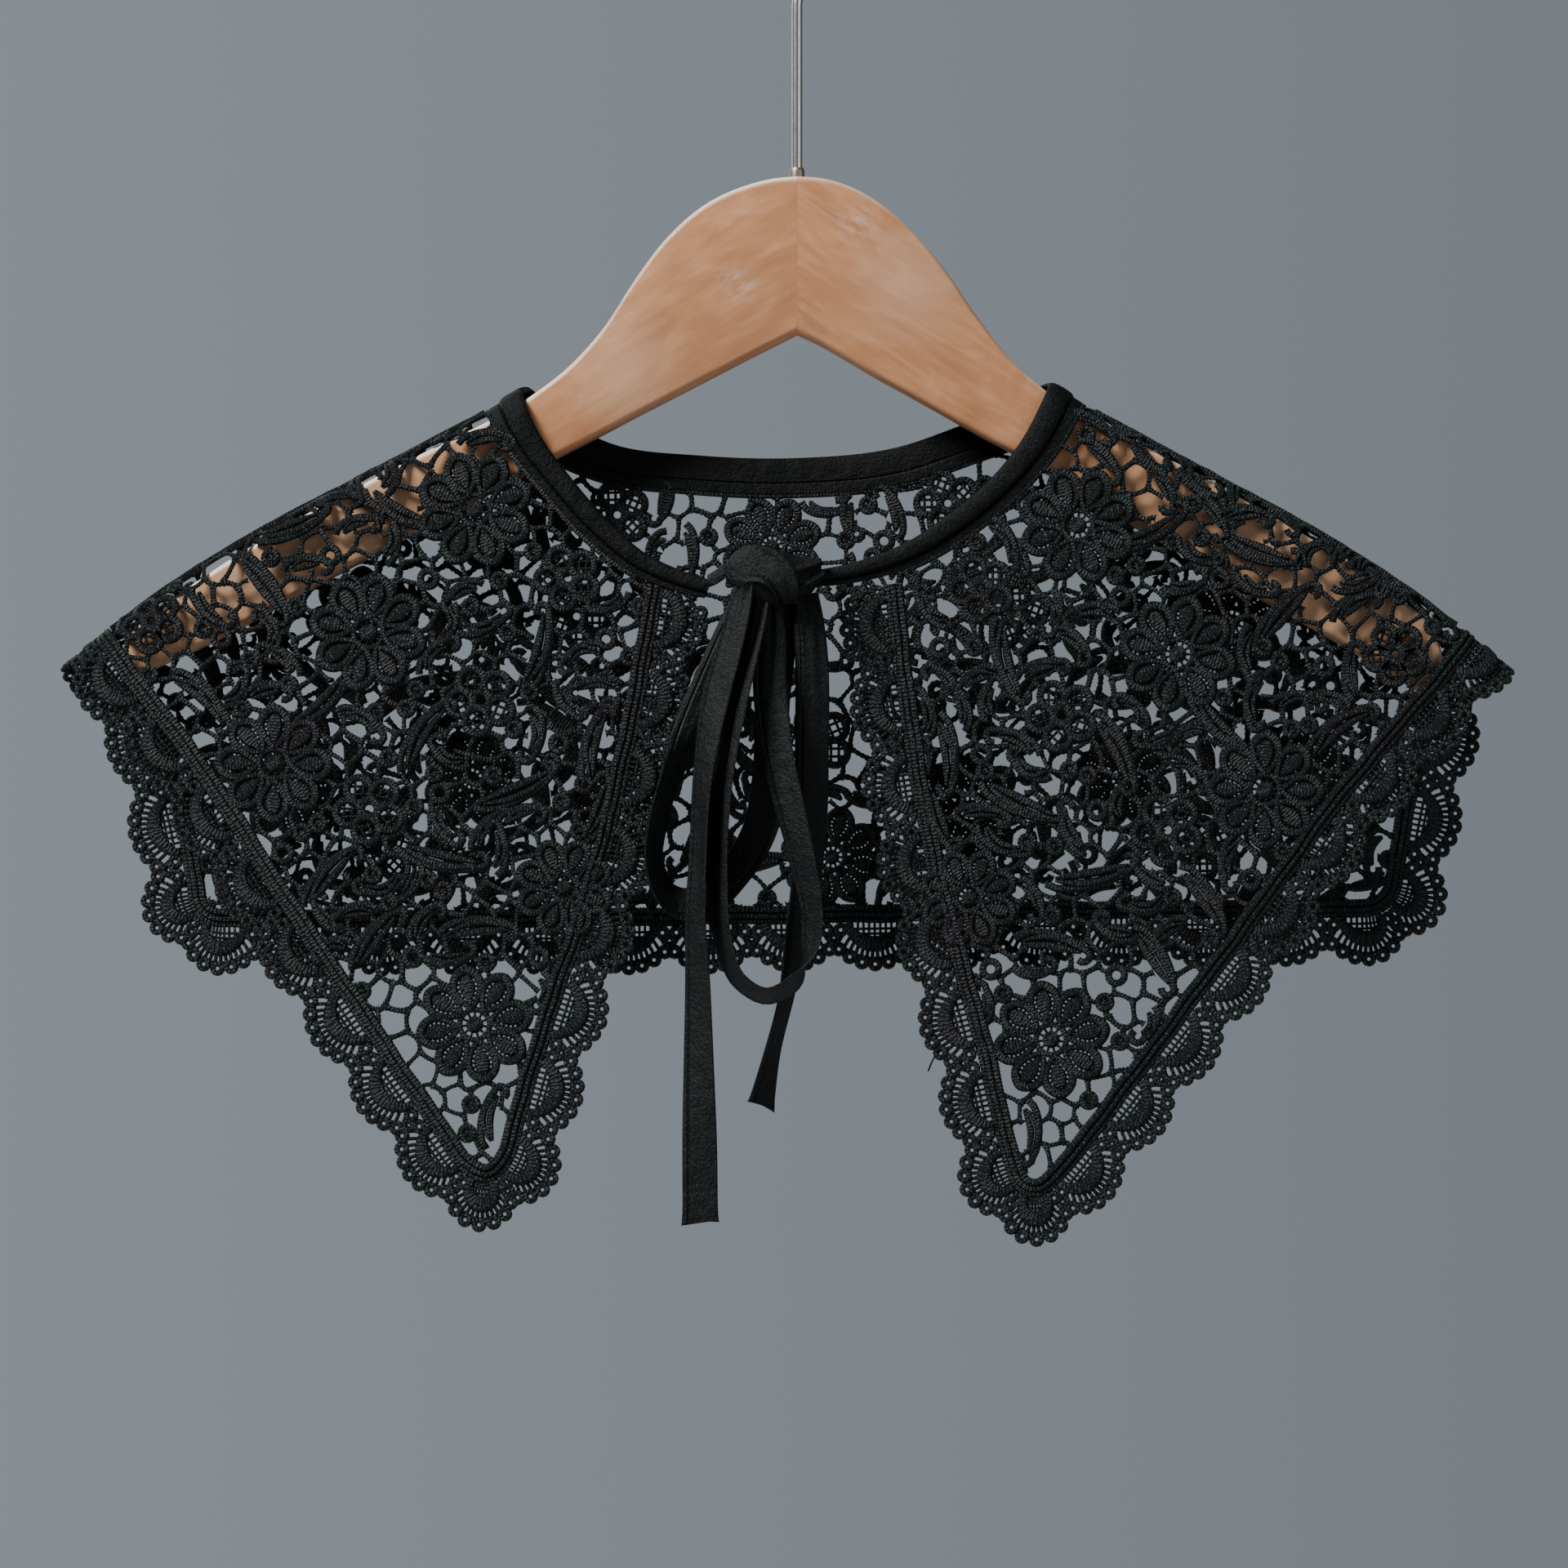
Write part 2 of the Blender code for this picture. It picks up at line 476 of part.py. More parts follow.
def cord_samples(route, outward):
    """Places along a cord's route, six to a scallop, and how far each scallop reaches there."""
    trace = offset_route(route, np.full(len(route), outward * SCALLOP_VALLEY))
    at = np.r_[0.0, np.cumsum(np.linalg.norm(np.diff(trace, axis=0), axis=1))]
    count = round(at[-1] / SCALLOP_PITCH)
    share = np.linspace(0.0, 1.0, 6 * count + 1)
    across = 2.0 * ((share * count) % 1.0) - 1.0
    places = np.clip(np.searchsorted(at, share * at[-1]), 0, len(route) - 1)
    return places, outward * (SCALLOP_VALLEY + SCALLOP_RISE * (1 - across**2))


def sparse(places, route):
    """The samples that the shape needs: all where it turns, one in three where it is straight."""
    heading = np.unwrap(np.arctan2(*np.gradient(route, axis=0).T))
    turning = np.abs(np.gradient(heading[places])) > 0.03
    return places[turning | (np.arange(len(places)) % 3 == 0)]


def front_cloth(side, lace, trim, tape):
    """One front: its lace, the scalloped edging around it and its stretch of neck binding."""
    route = hang(rounded_route(FRONT_CORD, TIP_ROUNDING), side)
    outward = -side
    places, reach = cord_samples(route, outward)
    few = sparse(places, route)
    lace_rim = offset_route(route, np.full(len(route), -outward * (CORD_BAND + SEAM_GAP / 2)))[few]
    trim_rim = offset_route(route, np.full(len(route), -outward * (CORD_BAND - SEAM_GAP / 2)))[few]
    full = np.zeros(len(route))
    full[places] = reach
    scallops = offset_route(route, full)[places]

    neck = neck_edges(side)
    lace_neck = past_seam(neck)
    beyond_cord = (lace_neck[:, 0] - lace_rim[0, 0]) * side > 2.0
    outline = up_to_fold(lace_rim, lace_neck[beyond_cord], side)
    cells = lace_cells(outline, world_motifs(FRONT_MOTIFS, side), BRIDE_WIDTH)
    panel(f"lace_front_{SIDE_NAME[side]}", outline, largest_gaps(cells, FRONT_GAPS), -1, lace)

    border = np.vstack([trim_rim, scallops[::-1]])
    border = clip(border, below_fold(border, side) - FOLD_TOP)
    gate = hang(np.array(FRONT_GATE), side)
    along_gate = gate[1] - gate[0]
    below = np.array([-along_gate[1], along_gate[0]]) * side
    border = clip(border, (border - gate[0]) @ below)
    panel(f"edging_front_{SIDE_NAME[side]}", without_short_sides(border, SHORT_SIDE), [], -1, trim)
    binding(f"neck_binding_{SIDE_NAME[side]}", neck, -1, tape)


def world_motifs(rows, side):
    """Half-collar motifs as flat world ones."""
    rows = np.array(rows, float)
    middle = hang(rows[:, :2], side)
    turn = -side * rows[:, 4] - math.degrees(COLLAR_TILT)
    return np.column_stack([middle, rows[:, 2:4], turn])


def neck_edges(side):
    """Both edges of a front's neck binding, from the fold to the knot, as flat world points."""
    rows = np.array(FRONT_NECK)
    both = np.column_stack([hang(rows[:, :2], side), hang(rows[:, 2:], side)])
    both[0] = np.r_[to_fold(both[0, :2], side), to_fold(both[0, 2:], side)]
    both = curve(both, 43)
    place = np.arange(len(both))
    far = np.abs(both[:, 0] - COLLAR_SHIFT) > NECK_END[side]
    return both[((place < 9) | (place % 3 == 0)) & far]


def past_seam(neck):
    """The edge of the lace beside a neck binding."""
    ease = neck[:, 2:] - neck[:, :2]
    return neck[:, 2:] + ease * SEAM_GAP / np.linalg.norm(ease, axis=1)[:, None]


def up_to_fold(rim, neck, side):
    """An outline of lace: up the cord to the fold, back along the fold, and down the neck."""
    depth = below_fold(rim, side) - FOLD_TOP
    last = int(np.flatnonzero(depth > 0)[-1])
    share = depth[last] / (depth[last] - depth[last + 1])
    meet = rim[last] + share * (rim[last + 1] - rim[last])
    start, length, along, _ = fold_frame(side)
    outs = np.arange(length + FOLD_BEYOND, FOLD_STEP, -FOLD_STEP)
    top = np.array([to_fold(start + along * out, side) for out in outs])
    top = top[((meet[0] - top[:, 0]) * side > 3.0) & ((top[:, 0] - neck[0, 0]) * side > 3.0)]
    return np.vstack([rim[:last + 1], meet[None], top, neck])


def binding(name, edges, face, material):
    """A rolled tape with a stitched flange: its section runs from the open edge to the lace."""
    section = [
        # share across, height
        (0.0, 0.2), (0.06, 1.2), (0.22, 1.75), (0.5, 1.8), (0.66, 1.35), (0.72, 0.7),
        (1.0, 0.6), (1.0, -0.8), (0.68, -0.8), (0.36, -0.8), (0.08, -0.8)]
    rings = [drape(edges[:, :2] + share * (edges[:, 2:] - edges[:, :2]), height, face)
             for share, height in section]
    loft(name, np.stack(rings, axis=1), material)


def back_cloth(lace, trim, tape):
    """The back: its lace, edging and binding, from one shoulder's fold to the other's."""
    route = rounded_route(BACK_CORD, CORNER_ROUNDING)
    places, reach = cord_samples(route, -1)
    few = sparse(places, route)
    lace_rim = offset_route(route, np.full(len(route), CORD_BAND + SEAM_GAP / 2))[few]
    trim_rim = offset_route(route, np.full(len(route), CORD_BAND - SEAM_GAP / 2))[few]
    full = np.zeros(len(route))
    full[places] = reach
    scallops = offset_route(route, full)[places]

    neck = np.array(BACK_NECK)
    for row, side in ((0, -1), (-1, 1)):
        neck[row] = np.r_[to_fold(neck[row, :2], side), to_fold(neck[row, 2:], side)]
    neck = curve(neck, 73)
    place = np.arange(len(neck))
    neck = neck[(place < 9) | (place > 63) | (place % 3 == 0)]
    lace_neck = past_seam(neck)
    right = up_to_fold(lace_rim[lace_rim[:, 0] > 0], lace_neck[:0:-1], 1)
    left = up_to_fold(lace_rim[lace_rim[:, 0] <= 0][::-1], lace_neck[:1], -1)
    outline = np.vstack([right, left[::-1]])

    motifs = BACK_MOTIFS + [(side * x, z, r, length, side * turn)
                            for side in (-1, 1) for x, z, r, length, turn in BACK_PAIRS]
    cells = lace_cells(outline, motifs, BRIDE_WIDTH)
    panel("lace_back", outline, largest_gaps(cells, BACK_GAPS), 1, lace)

    border = np.vstack([trim_rim, scallops[::-1]])
    for side in (-1, 1):
        border = clip(border, np.where((border[:, 0] > 0) == (side > 0),
                                       below_fold(border, side) - FOLD_TOP, 1.0))
    panel("edging_back", without_short_sides(border, SHORT_SIDE), [], 1, trim)
    binding("neck_binding_back", neck, 1, tape)


def ribbon(name, rows, count, material):
    """A flat ribbon: its width turns as the rows say, and its ends are cut square."""
    along = curve(rows, count)
    middle, width = along[:, :3], along[:, 3:]
    heading = np.gradient(middle, axis=0)
    heading /= np.linalg.norm(heading, axis=1)[:, None]
    width = width - (width * heading).sum(axis=1)[:, None] * heading
    width *= 0.5 * RIBBON_WIDTH / np.linalg.norm(width, axis=1)[:, None]
    depth = np.cross(heading, width)
    depth *= 0.5 * RIBBON_WALL / np.linalg.norm(depth, axis=1)[:, None]
    rings = np.stack([middle + width + depth, middle + width - depth,
                      middle - width - depth, middle - width + depth], axis=1)
    loft(name, rings, material)


def bundle(name, rows, count, around, material):
    """A rounded lump of folded ribbon along X, from rows of middle, half height and half depth."""
    rows = curve(rows, count)
    angle = np.linspace(0.0, 2 * np.pi, around, endpoint=False)
    squared = 1.0 / (np.abs(np.cos(angle))**3 + np.abs(np.sin(angle))**3)**(1 / 3)
    rings = np.empty((count, around, 3))
    rings[..., 0] = rows[:, :1]
    rings[..., 1] = rows[:, 1:2] + rows[:, 4:5] * squared * np.sin(angle)
    rings[..., 2] = rows[:, 2:3] + rows[:, 3:4] * squared * np.cos(angle)
    loft(name, rings, material)


def tie(material):
    """The tie: knot, two hanging loops, two tails and the short feed from the binding."""
    bundle("bow_knot", KNOT, 12, 12, material)
    bundle("tie_feed", TIE_FEED, 4, 8, material)
    ribbon("tie_tail_long", LONG_TAIL, 20, material)
    ribbon("tie_tail_short", SHORT_TAIL, 16, material)
    ribbon("bow_loop_front", FRONT_LOOP, 34, material)
    ribbon("bow_loop_back", BACK_LOOP, 30, material)


def arm(side, rows, underside, material):
    """Half of the hanger, glued to the other along its middle: bevelled upright sections."""
    rows, covered = np.array(rows), np.array(underside)
    below = below_fold(covered * [side, -1], side) - WOOD_UNDER_CLOTH
    covered_top = covered[:, 1] - below / abs(fold_frame(side)[3][1])
    out = np.r_[rows[:, 0], covered[:, 0]]
    top = np.r_[rows[:, 1], covered_top]
    bottom = np.r_[rows[:, 2], covered[:, 1]]
    middle, half = 0.5 * (top + bottom), 0.5 * (bottom - top)
    share = np.array([0.5, 0.8, 0.95])
    fall = (middle[-1] - middle[-2]) / (out[-1] - out[-2])
    middle = np.r_[middle, middle[-1] + fall * ARM_END_ROUND * share]
    half = np.r_[half, half[-1] * np.sqrt(1 - share**2)]
    out = np.r_[out, out[-1] + ARM_END_ROUND * share]
    bevel = np.minimum(ARM_BEVEL, 0.45 * half)
    deep = np.full(len(out), ARM_HALF_DEPTH)
    corners = [(-deep, half - bevel), (-deep + bevel, half), (deep - bevel, half), (deep, half - bevel),
               (deep, -half + bevel), (deep - bevel, -half), (-deep + bevel, -half), (-deep, -half + bevel)]
    rings = np.stack([np.column_stack([side * out, y, -middle + z]) for y, z in corners], axis=1)
    wood = loft(f"hanger_arm_{SIDE_NAME[side]}", rings, material)
    bore = wood.modifiers.new("shank_bore", "BOOLEAN")
    bore.operation = "DIFFERENCE"
    bore.solver = "EXACT"
    bore.object = bpy.data.objects["shank_bore"]


def wire_tube(name, route, radius, material):
    """A round wire along a route in the plane of the hanger."""
    heading = np.gradient(route, axis=0)
    heading /= np.linalg.norm(heading, axis=1)[:, None]
    normal = np.column_stack([-heading[:, 1], heading[:, 0]])
    angle = np.linspace(0.0, 2 * np.pi, WIRE_SIDES, endpoint=False)
    rings = np.empty((len(route), WIRE_SIDES, 3))
    rings[..., 0] = route[:, :1] + radius * normal[:, :1] * np.cos(angle)
    rings[..., 1] = radius * np.sin(angle)
    rings[..., 2] = route[:, 1:] + radius * normal[:, 1:] * np.cos(angle)
    return loft(name, rings, material)


def hook(steel, collar_steel):
    """A round wire: the shank in the wood, a small bend, and the hook over the rail."""
    ring = HOOK_INNER_RADIUS + WIRE_RADIUS
    meet = np.array([ring * math.cos(HOOK_JOIN), -HOOK_INNER_RADIUS + ring * math.sin(HOOK_JOIN)])
    bend = np.linspace(0.0, -HOOK_JOIN, 6)
    bend_radius = meet[0] / (1 - math.cos(HOOK_JOIN))
    foot = meet[1] + bend_radius * math.sin(HOOK_JOIN)
    lower = np.column_stack([bend_radius * (1 - np.cos(bend)), foot + bend_radius * np.sin(bend)])
    turn = np.linspace(HOOK_JOIN, HOOK_END, 20)[1:]
    upper = np.column_stack([ring * np.cos(turn), -HOOK_INNER_RADIUS + ring * np.sin(turn)])
    shank = np.array([(0.0, -CROWN_TOP - SHANK_DEPTH), (0.0, -CROWN_TOP - 1.0)])
    wire_tube("hanger_hook", np.vstack([shank, lower, upper]), WIRE_RADIUS, steel)

    angle = np.linspace(0.0, 2 * np.pi, WIRE_SIDES, endpoint=False)
    points = [(radius * math.cos(a), radius * math.sin(a), height - CROWN_TOP)
              for radius, height in HOOK_COLLAR for a in angle]
    count = len(HOOK_COLLAR)
    k, j = np.divmod(np.arange(count * WIRE_SIDES), WIRE_SIDES)
    above, after = (k + 1) % count, (j + 1) % WIRE_SIDES
    faces = np.column_stack([k * WIRE_SIDES + j, k * WIRE_SIDES + after,
                             above * WIRE_SIDES + after, above * WIRE_SIDES + j])
    build("hook_collar", points, faces.tolist(), collar_steel)


def shank_bore(material):
    """The cutter for the hole that the shank is driven into."""
    route = np.array([(0.0, -CROWN_TOP - SHANK_DEPTH - SEAM_GAP), (0.0, -CROWN_TOP + 4.0)])
    cutter = wire_tube("shank_bore", route, WIRE_RADIUS + SEAM_GAP, material)
    cutter.hide_render = True
    cutter.display_type = "WIRE"


def main():
    for item in list(bpy.data.objects):
        bpy.data.objects.remove(item)
    wood = finish("pale_beech", (0.52, 0.30, 0.18), 0.5)
    steel = finish("bright_steel", (0.55, 0.53, 0.50), 0.3, 1.0)
    collar_steel = finish("aged_steel", (0.25, 0.19, 0.14), 0.45, 1.0)
    lace = finish("black_lace", (0.010, 0.013, 0.014), 0.75)
    trim = finish("black_edging", (0.011, 0.014, 0.015), 0.72)
    tape = finish("black_binding", (0.010, 0.012, 0.013), 0.6)
    ribbon_cloth = finish("black_ribbon", (0.009, 0.010, 0.012), 0.55)
    shank_bore(steel)
    arm(-1, LEFT_ARM, LEFT_UNDERSIDE, wood)
    arm(1, RIGHT_ARM, RIGHT_UNDERSIDE, wood)
    hook(steel, collar_steel)
    for side in (-1, 1):
        front_cloth(side, lace, trim, tape)
    back_cloth(lace, trim, tape)
    tie(ribbon_cloth)


main()
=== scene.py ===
# Black lace collar scarf with a ribbon bow, hung on a flat wooden hanger.
# Tables and the cloth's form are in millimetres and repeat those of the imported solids.
# Cloth is worked out flat, as (x, z) with a height over its middle, and drape() hangs it.
import math

import bpy
import numpy as np
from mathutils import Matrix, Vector
from mathutils.geometry import delaunay_2d_cdt


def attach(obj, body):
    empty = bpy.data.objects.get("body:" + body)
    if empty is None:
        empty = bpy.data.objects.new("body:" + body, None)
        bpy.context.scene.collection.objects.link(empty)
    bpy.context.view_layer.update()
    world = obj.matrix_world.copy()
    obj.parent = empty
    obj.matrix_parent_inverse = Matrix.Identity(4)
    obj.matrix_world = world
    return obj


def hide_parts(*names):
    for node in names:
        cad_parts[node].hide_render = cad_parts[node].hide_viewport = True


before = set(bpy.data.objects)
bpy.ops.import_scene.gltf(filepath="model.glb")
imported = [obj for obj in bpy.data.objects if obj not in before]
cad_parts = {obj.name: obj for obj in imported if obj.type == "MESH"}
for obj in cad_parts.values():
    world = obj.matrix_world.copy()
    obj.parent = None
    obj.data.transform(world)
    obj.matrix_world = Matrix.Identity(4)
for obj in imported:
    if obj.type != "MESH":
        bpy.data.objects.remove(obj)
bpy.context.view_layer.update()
print("frame loaded")

collar = dict(
    tilt=math.radians(1.5), shift=-4.0, crownDepth=110.0, foldRadius=9.0, foldLift=5.4,
    waveDepth=1.3, seamGap=0.3, tipRounding=22, cornerRounding=8)
foldEnds = {-1: ((-94.1, -183.4), (-250.9, -277.2)), 1: ((87.9, -182.0), (244.7, -278.6))}
foldTop = -(math.pi / 2 - 1) * collar["foldRadius"] + collar["seamGap"] / 2
sideName = {-1: "Left", 1: "Right"}

# Half of the front, a out from its middle line and b down from the crown
frontCord = [
    (40.6, 138.5), (44.4, 165.0), (47.6, 186.0), (51.8, 208.0), (57.0, 233.0), (61.0, 249.0),
    (67.0, 267.0), (72.5, 283.0), (77.2, 301.0), (82.0, 317.5), (85.4, 332.8), (91.0, 352.8),
    (106.0, 331.4), (121.0, 312.0), (136.0, 290.0), (161.0, 255.0), (178.0, 230.0),
    (196.0, 203.0), (215.0, 181.0), (231.0, 160.0), (262.0, 121.0)]
frontNeck = [
    # open a, open b, lace a, lace b
    (88.0, 75.0, 100.5, 80.0), (81.5, 90.5, 92.5, 95.0), (70.5, 104.5, 79.5, 110.0),
    (57.0, 117.5, 64.2, 124.0), (44.2, 127.2, 50.0, 133.6), (30.0, 133.3, 34.8, 139.6),
    (16.4, 136.9, 17.5, 142.8), (9.5, 138.0, 10.0, 143.2)]
neckEnd = {-1: 24.0, 1: 9.0}
neckDrop = {-1: 3.2, 1: -2.8}
frontGate = [(44.5, 136.6), (19.0, 143.8)]
backNeck = [
    # open x, open z, lace x, lace z
    (-91.5, -183.0, -104.0, -189.5), (-82.0, -190.5, -91.5, -201.5), (-65.0, -200.0, -70.0, -212.0),
    (-33.0, -204.5, -35.0, -217.0), (0.0, -205.3, 0.0, -218.0), (35.0, -201.5, 38.0, -214.0),
    (54.0, -195.0, 60.5, -206.5), (73.0, -187.5, 82.0, -198.0), (85.5, -182.0, 97.5, -189.0)]
backCord = [
    (-262.0, -240.0), (-241.0, -265.0), (-227.5, -281.0), (-217.0, -306.0), (-210.0, -334.0),
    (-205.8, -363.7), (-100.0, -364.0), (0.0, -362.5), (100.0, -361.0), (203.8, -360.3),
    (209.0, -330.0), (215.0, -303.0), (220.0, -280.0), (234.0, -262.0), (256.0, -236.0)]


def travelled(points):
    # distance along a polyline up to each of its points
    return np.r_[0.0, np.cumsum(np.linalg.norm(np.diff(points, axis=0), axis=1))]


def unit(vectors):
    return vectors / np.linalg.norm(vectors, axis=-1, keepdims=True)


def smoothCurve(rows, count):
    # points evenly along a cubic Hermite curve through the rows, all columns alike
    rows = np.asarray(rows, float)
    at = travelled(rows)
    slope = np.gradient(rows, at, axis=0)
    want = np.linspace(0.0, at[-1], count)
    piece = np.clip(np.searchsorted(at, want, side="right") - 1, 0, len(rows) - 2)
    width = (at[piece + 1] - at[piece])[:, None]
    t = (want - at[piece])[:, None] / width
    return ((2 * t**3 - 3 * t**2 + 1) * rows[piece] + (t**3 - 2 * t**2 + t) * width * slope[piece]
            + (3 * t**2 - 2 * t**3) * rows[piece + 1] + (t**3 - t**2) * width * slope[piece + 1])


def evenly(points, step):
    # the polyline sampled again at an even step
    at = travelled(points)
    want = np.linspace(0.0, at[-1], max(2, round(at[-1] / step) + 1))
    return np.column_stack([np.interp(want, at, column) for column in points.T])


def roundedRoute(rows, reach):
    # a moving average along the polyline at a step of 1 mm, which rounds its corners
    points = evenly(np.asarray(rows, float), 1.0)
    before = 2 * points[0] - points[reach:0:-1]
    after = 2 * points[-1] - points[-2:-reach - 2:-1]
    mean = np.ones(2 * reach + 1) / (2 * reach + 1)
    padded = np.vstack([before, points, after])
    return np.column_stack([np.convolve(column, mean, "valid") for column in padded.T])


def inside(polygon, points):
    # how often a ray to the right crosses the polygon, odd for points inside it
    x, y = points[:, :1], points[:, 1:]
    here, there = polygon, np.roll(polygon, -1, axis=0)
    rise = there[:, 1] - here[:, 1]
    rise = np.where(rise == 0, 1e-12, rise)
    crossing = here[:, 0] + (y - here[:, 1]) * (there[:, 0] - here[:, 0]) / rise
    return (((here[:, 1] > y) != (there[:, 1] > y)) & (x < crossing)).sum(axis=1) % 2 == 1


def hangFlat(points, side):
    # half-collar (a, b) turned by the tilt, shifted and mirrored to one side
    a, b = side * points[:, 0], -points[:, 1]
    cos, sin = math.cos(collar["tilt"]), math.sin(collar["tilt"])
    return np.column_stack([cos * a + sin * b + collar["shift"], cos * b - sin * a - collar["crownDepth"]])


def foldFrame(side):
    # the shoulder's start, length and direction, and the direction down from it
    start, end = (np.array(point) for point in foldEnds[side])
    length = np.linalg.norm(end - start)
    along = (end - start) / length
    return start, length, along, side * np.array([along[1], -along[0]])


def belowFold(points, side):
    # distance below the shoulder's chord, which a sine lifts into a rounded silhouette
    start, length, along, down = foldFrame(side)
    share = np.clip((points - start) @ along / length, 0.0, 1.0)
    return (points - start) @ down + collar["foldLift"] * np.sin(np.pi * share**1.5)


def toFold(point, side):
    # the point slid square to the shoulder until it lies on the line where front and back meet
    point = np.asarray(point, float)
    down = foldFrame(side)[3]
    for _ in range(3):
        point = point + down * (foldTop - belowFold(point[None], side)[0])
    return point


def drape(points, height, face):
    # a quarter turn of radius foldRadius plus height over the shoulder, then straight down,
    # with product-of-sines waves that grow below the fold; face is -1 in front and 1 behind
    height = np.broadcast_to(height, len(points))
    fold = collar["foldRadius"]
    hung = np.empty((len(points), 3))
    for side in (-1, 1):
        mine = (points[:, 0] > collar["shift"]) == (side > 0)
        flat = points[mine]
        drop = belowFold(flat, side)
        run = np.maximum(drop - foldTop + collar["seamGap"] / 2, 0.0)
        turn = np.minimum(run / fold, np.pi / 2)
        radius = fold + height[mine]
        lower = fold - radius * np.cos(turn) + np.maximum(run - fold * np.pi / 2, 0.0) - drop
        ease = np.clip((run - 35.0) / 60.0, 0.0, 1.0)
        wave = collar["waveDepth"] * ease * np.sin(flat[:, 0] / 19.0 + 0.7 * face) * np.sin(flat[:, 1] / 37.0)
        hung[mine, 0::2] = flat + lower[:, None] * foldFrame(side)[3]
        hung[mine, 1] = face * (radius * np.sin(turn) + wave)
    return hung


def scatter(index, salt):
    # uneven numbers from 0 to 1, the same each time: the fraction of a large sine
    return (np.sin(index * 12.9898 + salt * 78.233) * 43758.5453) % 1.0


def sideways(route, distance):
    # the route moved to the left of its direction
    step = unit(np.gradient(route, axis=0))
    return route + np.asarray(distance)[..., None] * np.column_stack([-step[:, 1], step[:, 0]])


def ringFaces(here, there, around):
    # quads between rings of points, from the numbers of the rings' first points
    j = np.arange(around)
    follow = (j + 1) % around
    return np.stack([here + j, here + follow, there + follow, there + j], axis=-1).reshape(-1, 4)


def ringMarks(low, high, first, last):
    # UVs of such quads, from low to high along and from first to last round
    corners = ((low, first), (low, last), (high, last), (high, first))
    return np.stack([np.stack(np.broadcast_arrays(*corner), -1) for corner in corners], -2).reshape(-1, 4, 2)


def capFaces(first, last, around):
    # flat ends over two rings, from the numbers of the rings' first points
    return np.vstack([first + np.arange(around)[::-1], last + np.arange(around)])


# Stitched shapes: each gives flat points, heights, faces and their UVs in millimetres
def cordShapes(paths, width, rise, lift=0.0, around=6, closed=False, groove=0.0):
    # rounds cos(angle) across and sin(angle) up carried along each path;
    # width is one number, or one list for each path; a groove lowers the middle
    count = np.array([len(path) for path in paths])
    first = np.r_[0, np.cumsum(count)[:-1]]
    which = np.repeat(np.arange(len(paths)), count)
    step = np.arange(count.sum()) - first[which]
    flat = np.vstack(paths)
    last = count[which] - 1
    if closed:
        after = first[which] + (step + 1) % count[which]
        before = first[which] + (step - 1) % count[which]
    else:
        after = first[which] + np.minimum(step + 1, last)
        before = first[which] + np.maximum(step - 1, 0)
    heading = flat[after] - flat[before]
    heading /= np.maximum(np.linalg.norm(heading, axis=1), 1e-9)[:, None]
    across = np.column_stack([-heading[:, 1], heading[:, 0]])
    gap = np.linalg.norm(flat[after] - flat, axis=1)
    travel = np.cumsum(gap) - gap
    travel -= travel[first[which]]
    half = 0.5 * (np.full(len(flat), width) if np.isscalar(width) else np.concatenate(width))
    angle = 2 * np.pi * np.arange(around) / around
    points = flat[:, None] + half[:, None, None] * np.cos(angle)[:, None] * across[:, None]
    thick = 0.5 * rise * np.minimum(1.0, half / half.max())**0.5
    dip = 1 - groove * np.exp(-(np.cos(angle) / 0.4)**2)
    heights = lift + thick[:, None] * np.sin(angle) * dip
    starts = np.arange(len(flat)) if closed else np.flatnonzero(step < last)
    faces = [ringFaces(starts[:, None] * around, after[starts][:, None] * around, around)]
    low, turn = travel[starts][:, None], 1.0 * np.arange(around)
    uvs = [ringMarks(low, low + gap[starts][:, None], turn, turn + 1)]
    if not closed:
        faces.append(capFaces(first[:, None] * around, (first + count - 1)[:, None] * around, around))
        uvs.append(np.zeros(faces[1].shape + (2,)))
    return points.reshape(-1, 2), heights.ravel(), faces, uvs


def domeShapes(centre, radius, rise, around=14):
    # a flattened globe: rings of radius cos(latitude) at heights sin(latitude)
    latitude = np.radians([-62.0, -22.0, 22.0, 62.0])
    points = np.vstack([circlePath(centre, radius * wide, around) for wide in np.cos(latitude)])
    ring = np.arange(3)[:, None] * around
    faces = [ringFaces(ring, ring + around, around), capFaces(0, 3 * around, around)]
    turn = np.arange(around) * 2 * np.pi * radius / around
    uv = ringMarks(0 * ring, 0 * ring + 1, turn, turn + 2 * np.pi * radius / around)[..., ::-1]
    return points, np.repeat(0.5 * rise * np.sin(latitude), around), faces, [uv, np.zeros((2, around, 2))]


def makePiece(name, points, faces, uvs, material, node):
    # one mesh from millimetres, riding on the root and standing for its solid
    mesh = bpy.data.meshes.new(name)
    mesh.from_pydata((points * 0.001).tolist(), [], [face for group in faces for face in group.tolist()])
    layer = mesh.uv_layers.new(name="stitch")
    layer.data.foreach_set("uv", np.concatenate([uv.reshape(-1) for uv in uvs]).astype(np.float32))
    mesh.polygons.foreach_set("use_smooth", np.ones(len(mesh.polygons), bool))
    mesh.materials.append(material)
    piece = bpy.data.objects.new(name, mesh)
    bpy.context.scene.collection.objects.link(piece)
    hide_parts(node)
    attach(piece, "root")
    print(name, sum(len(group) * (group.shape[1] - 2) for group in faces), "triangles")
    return piece


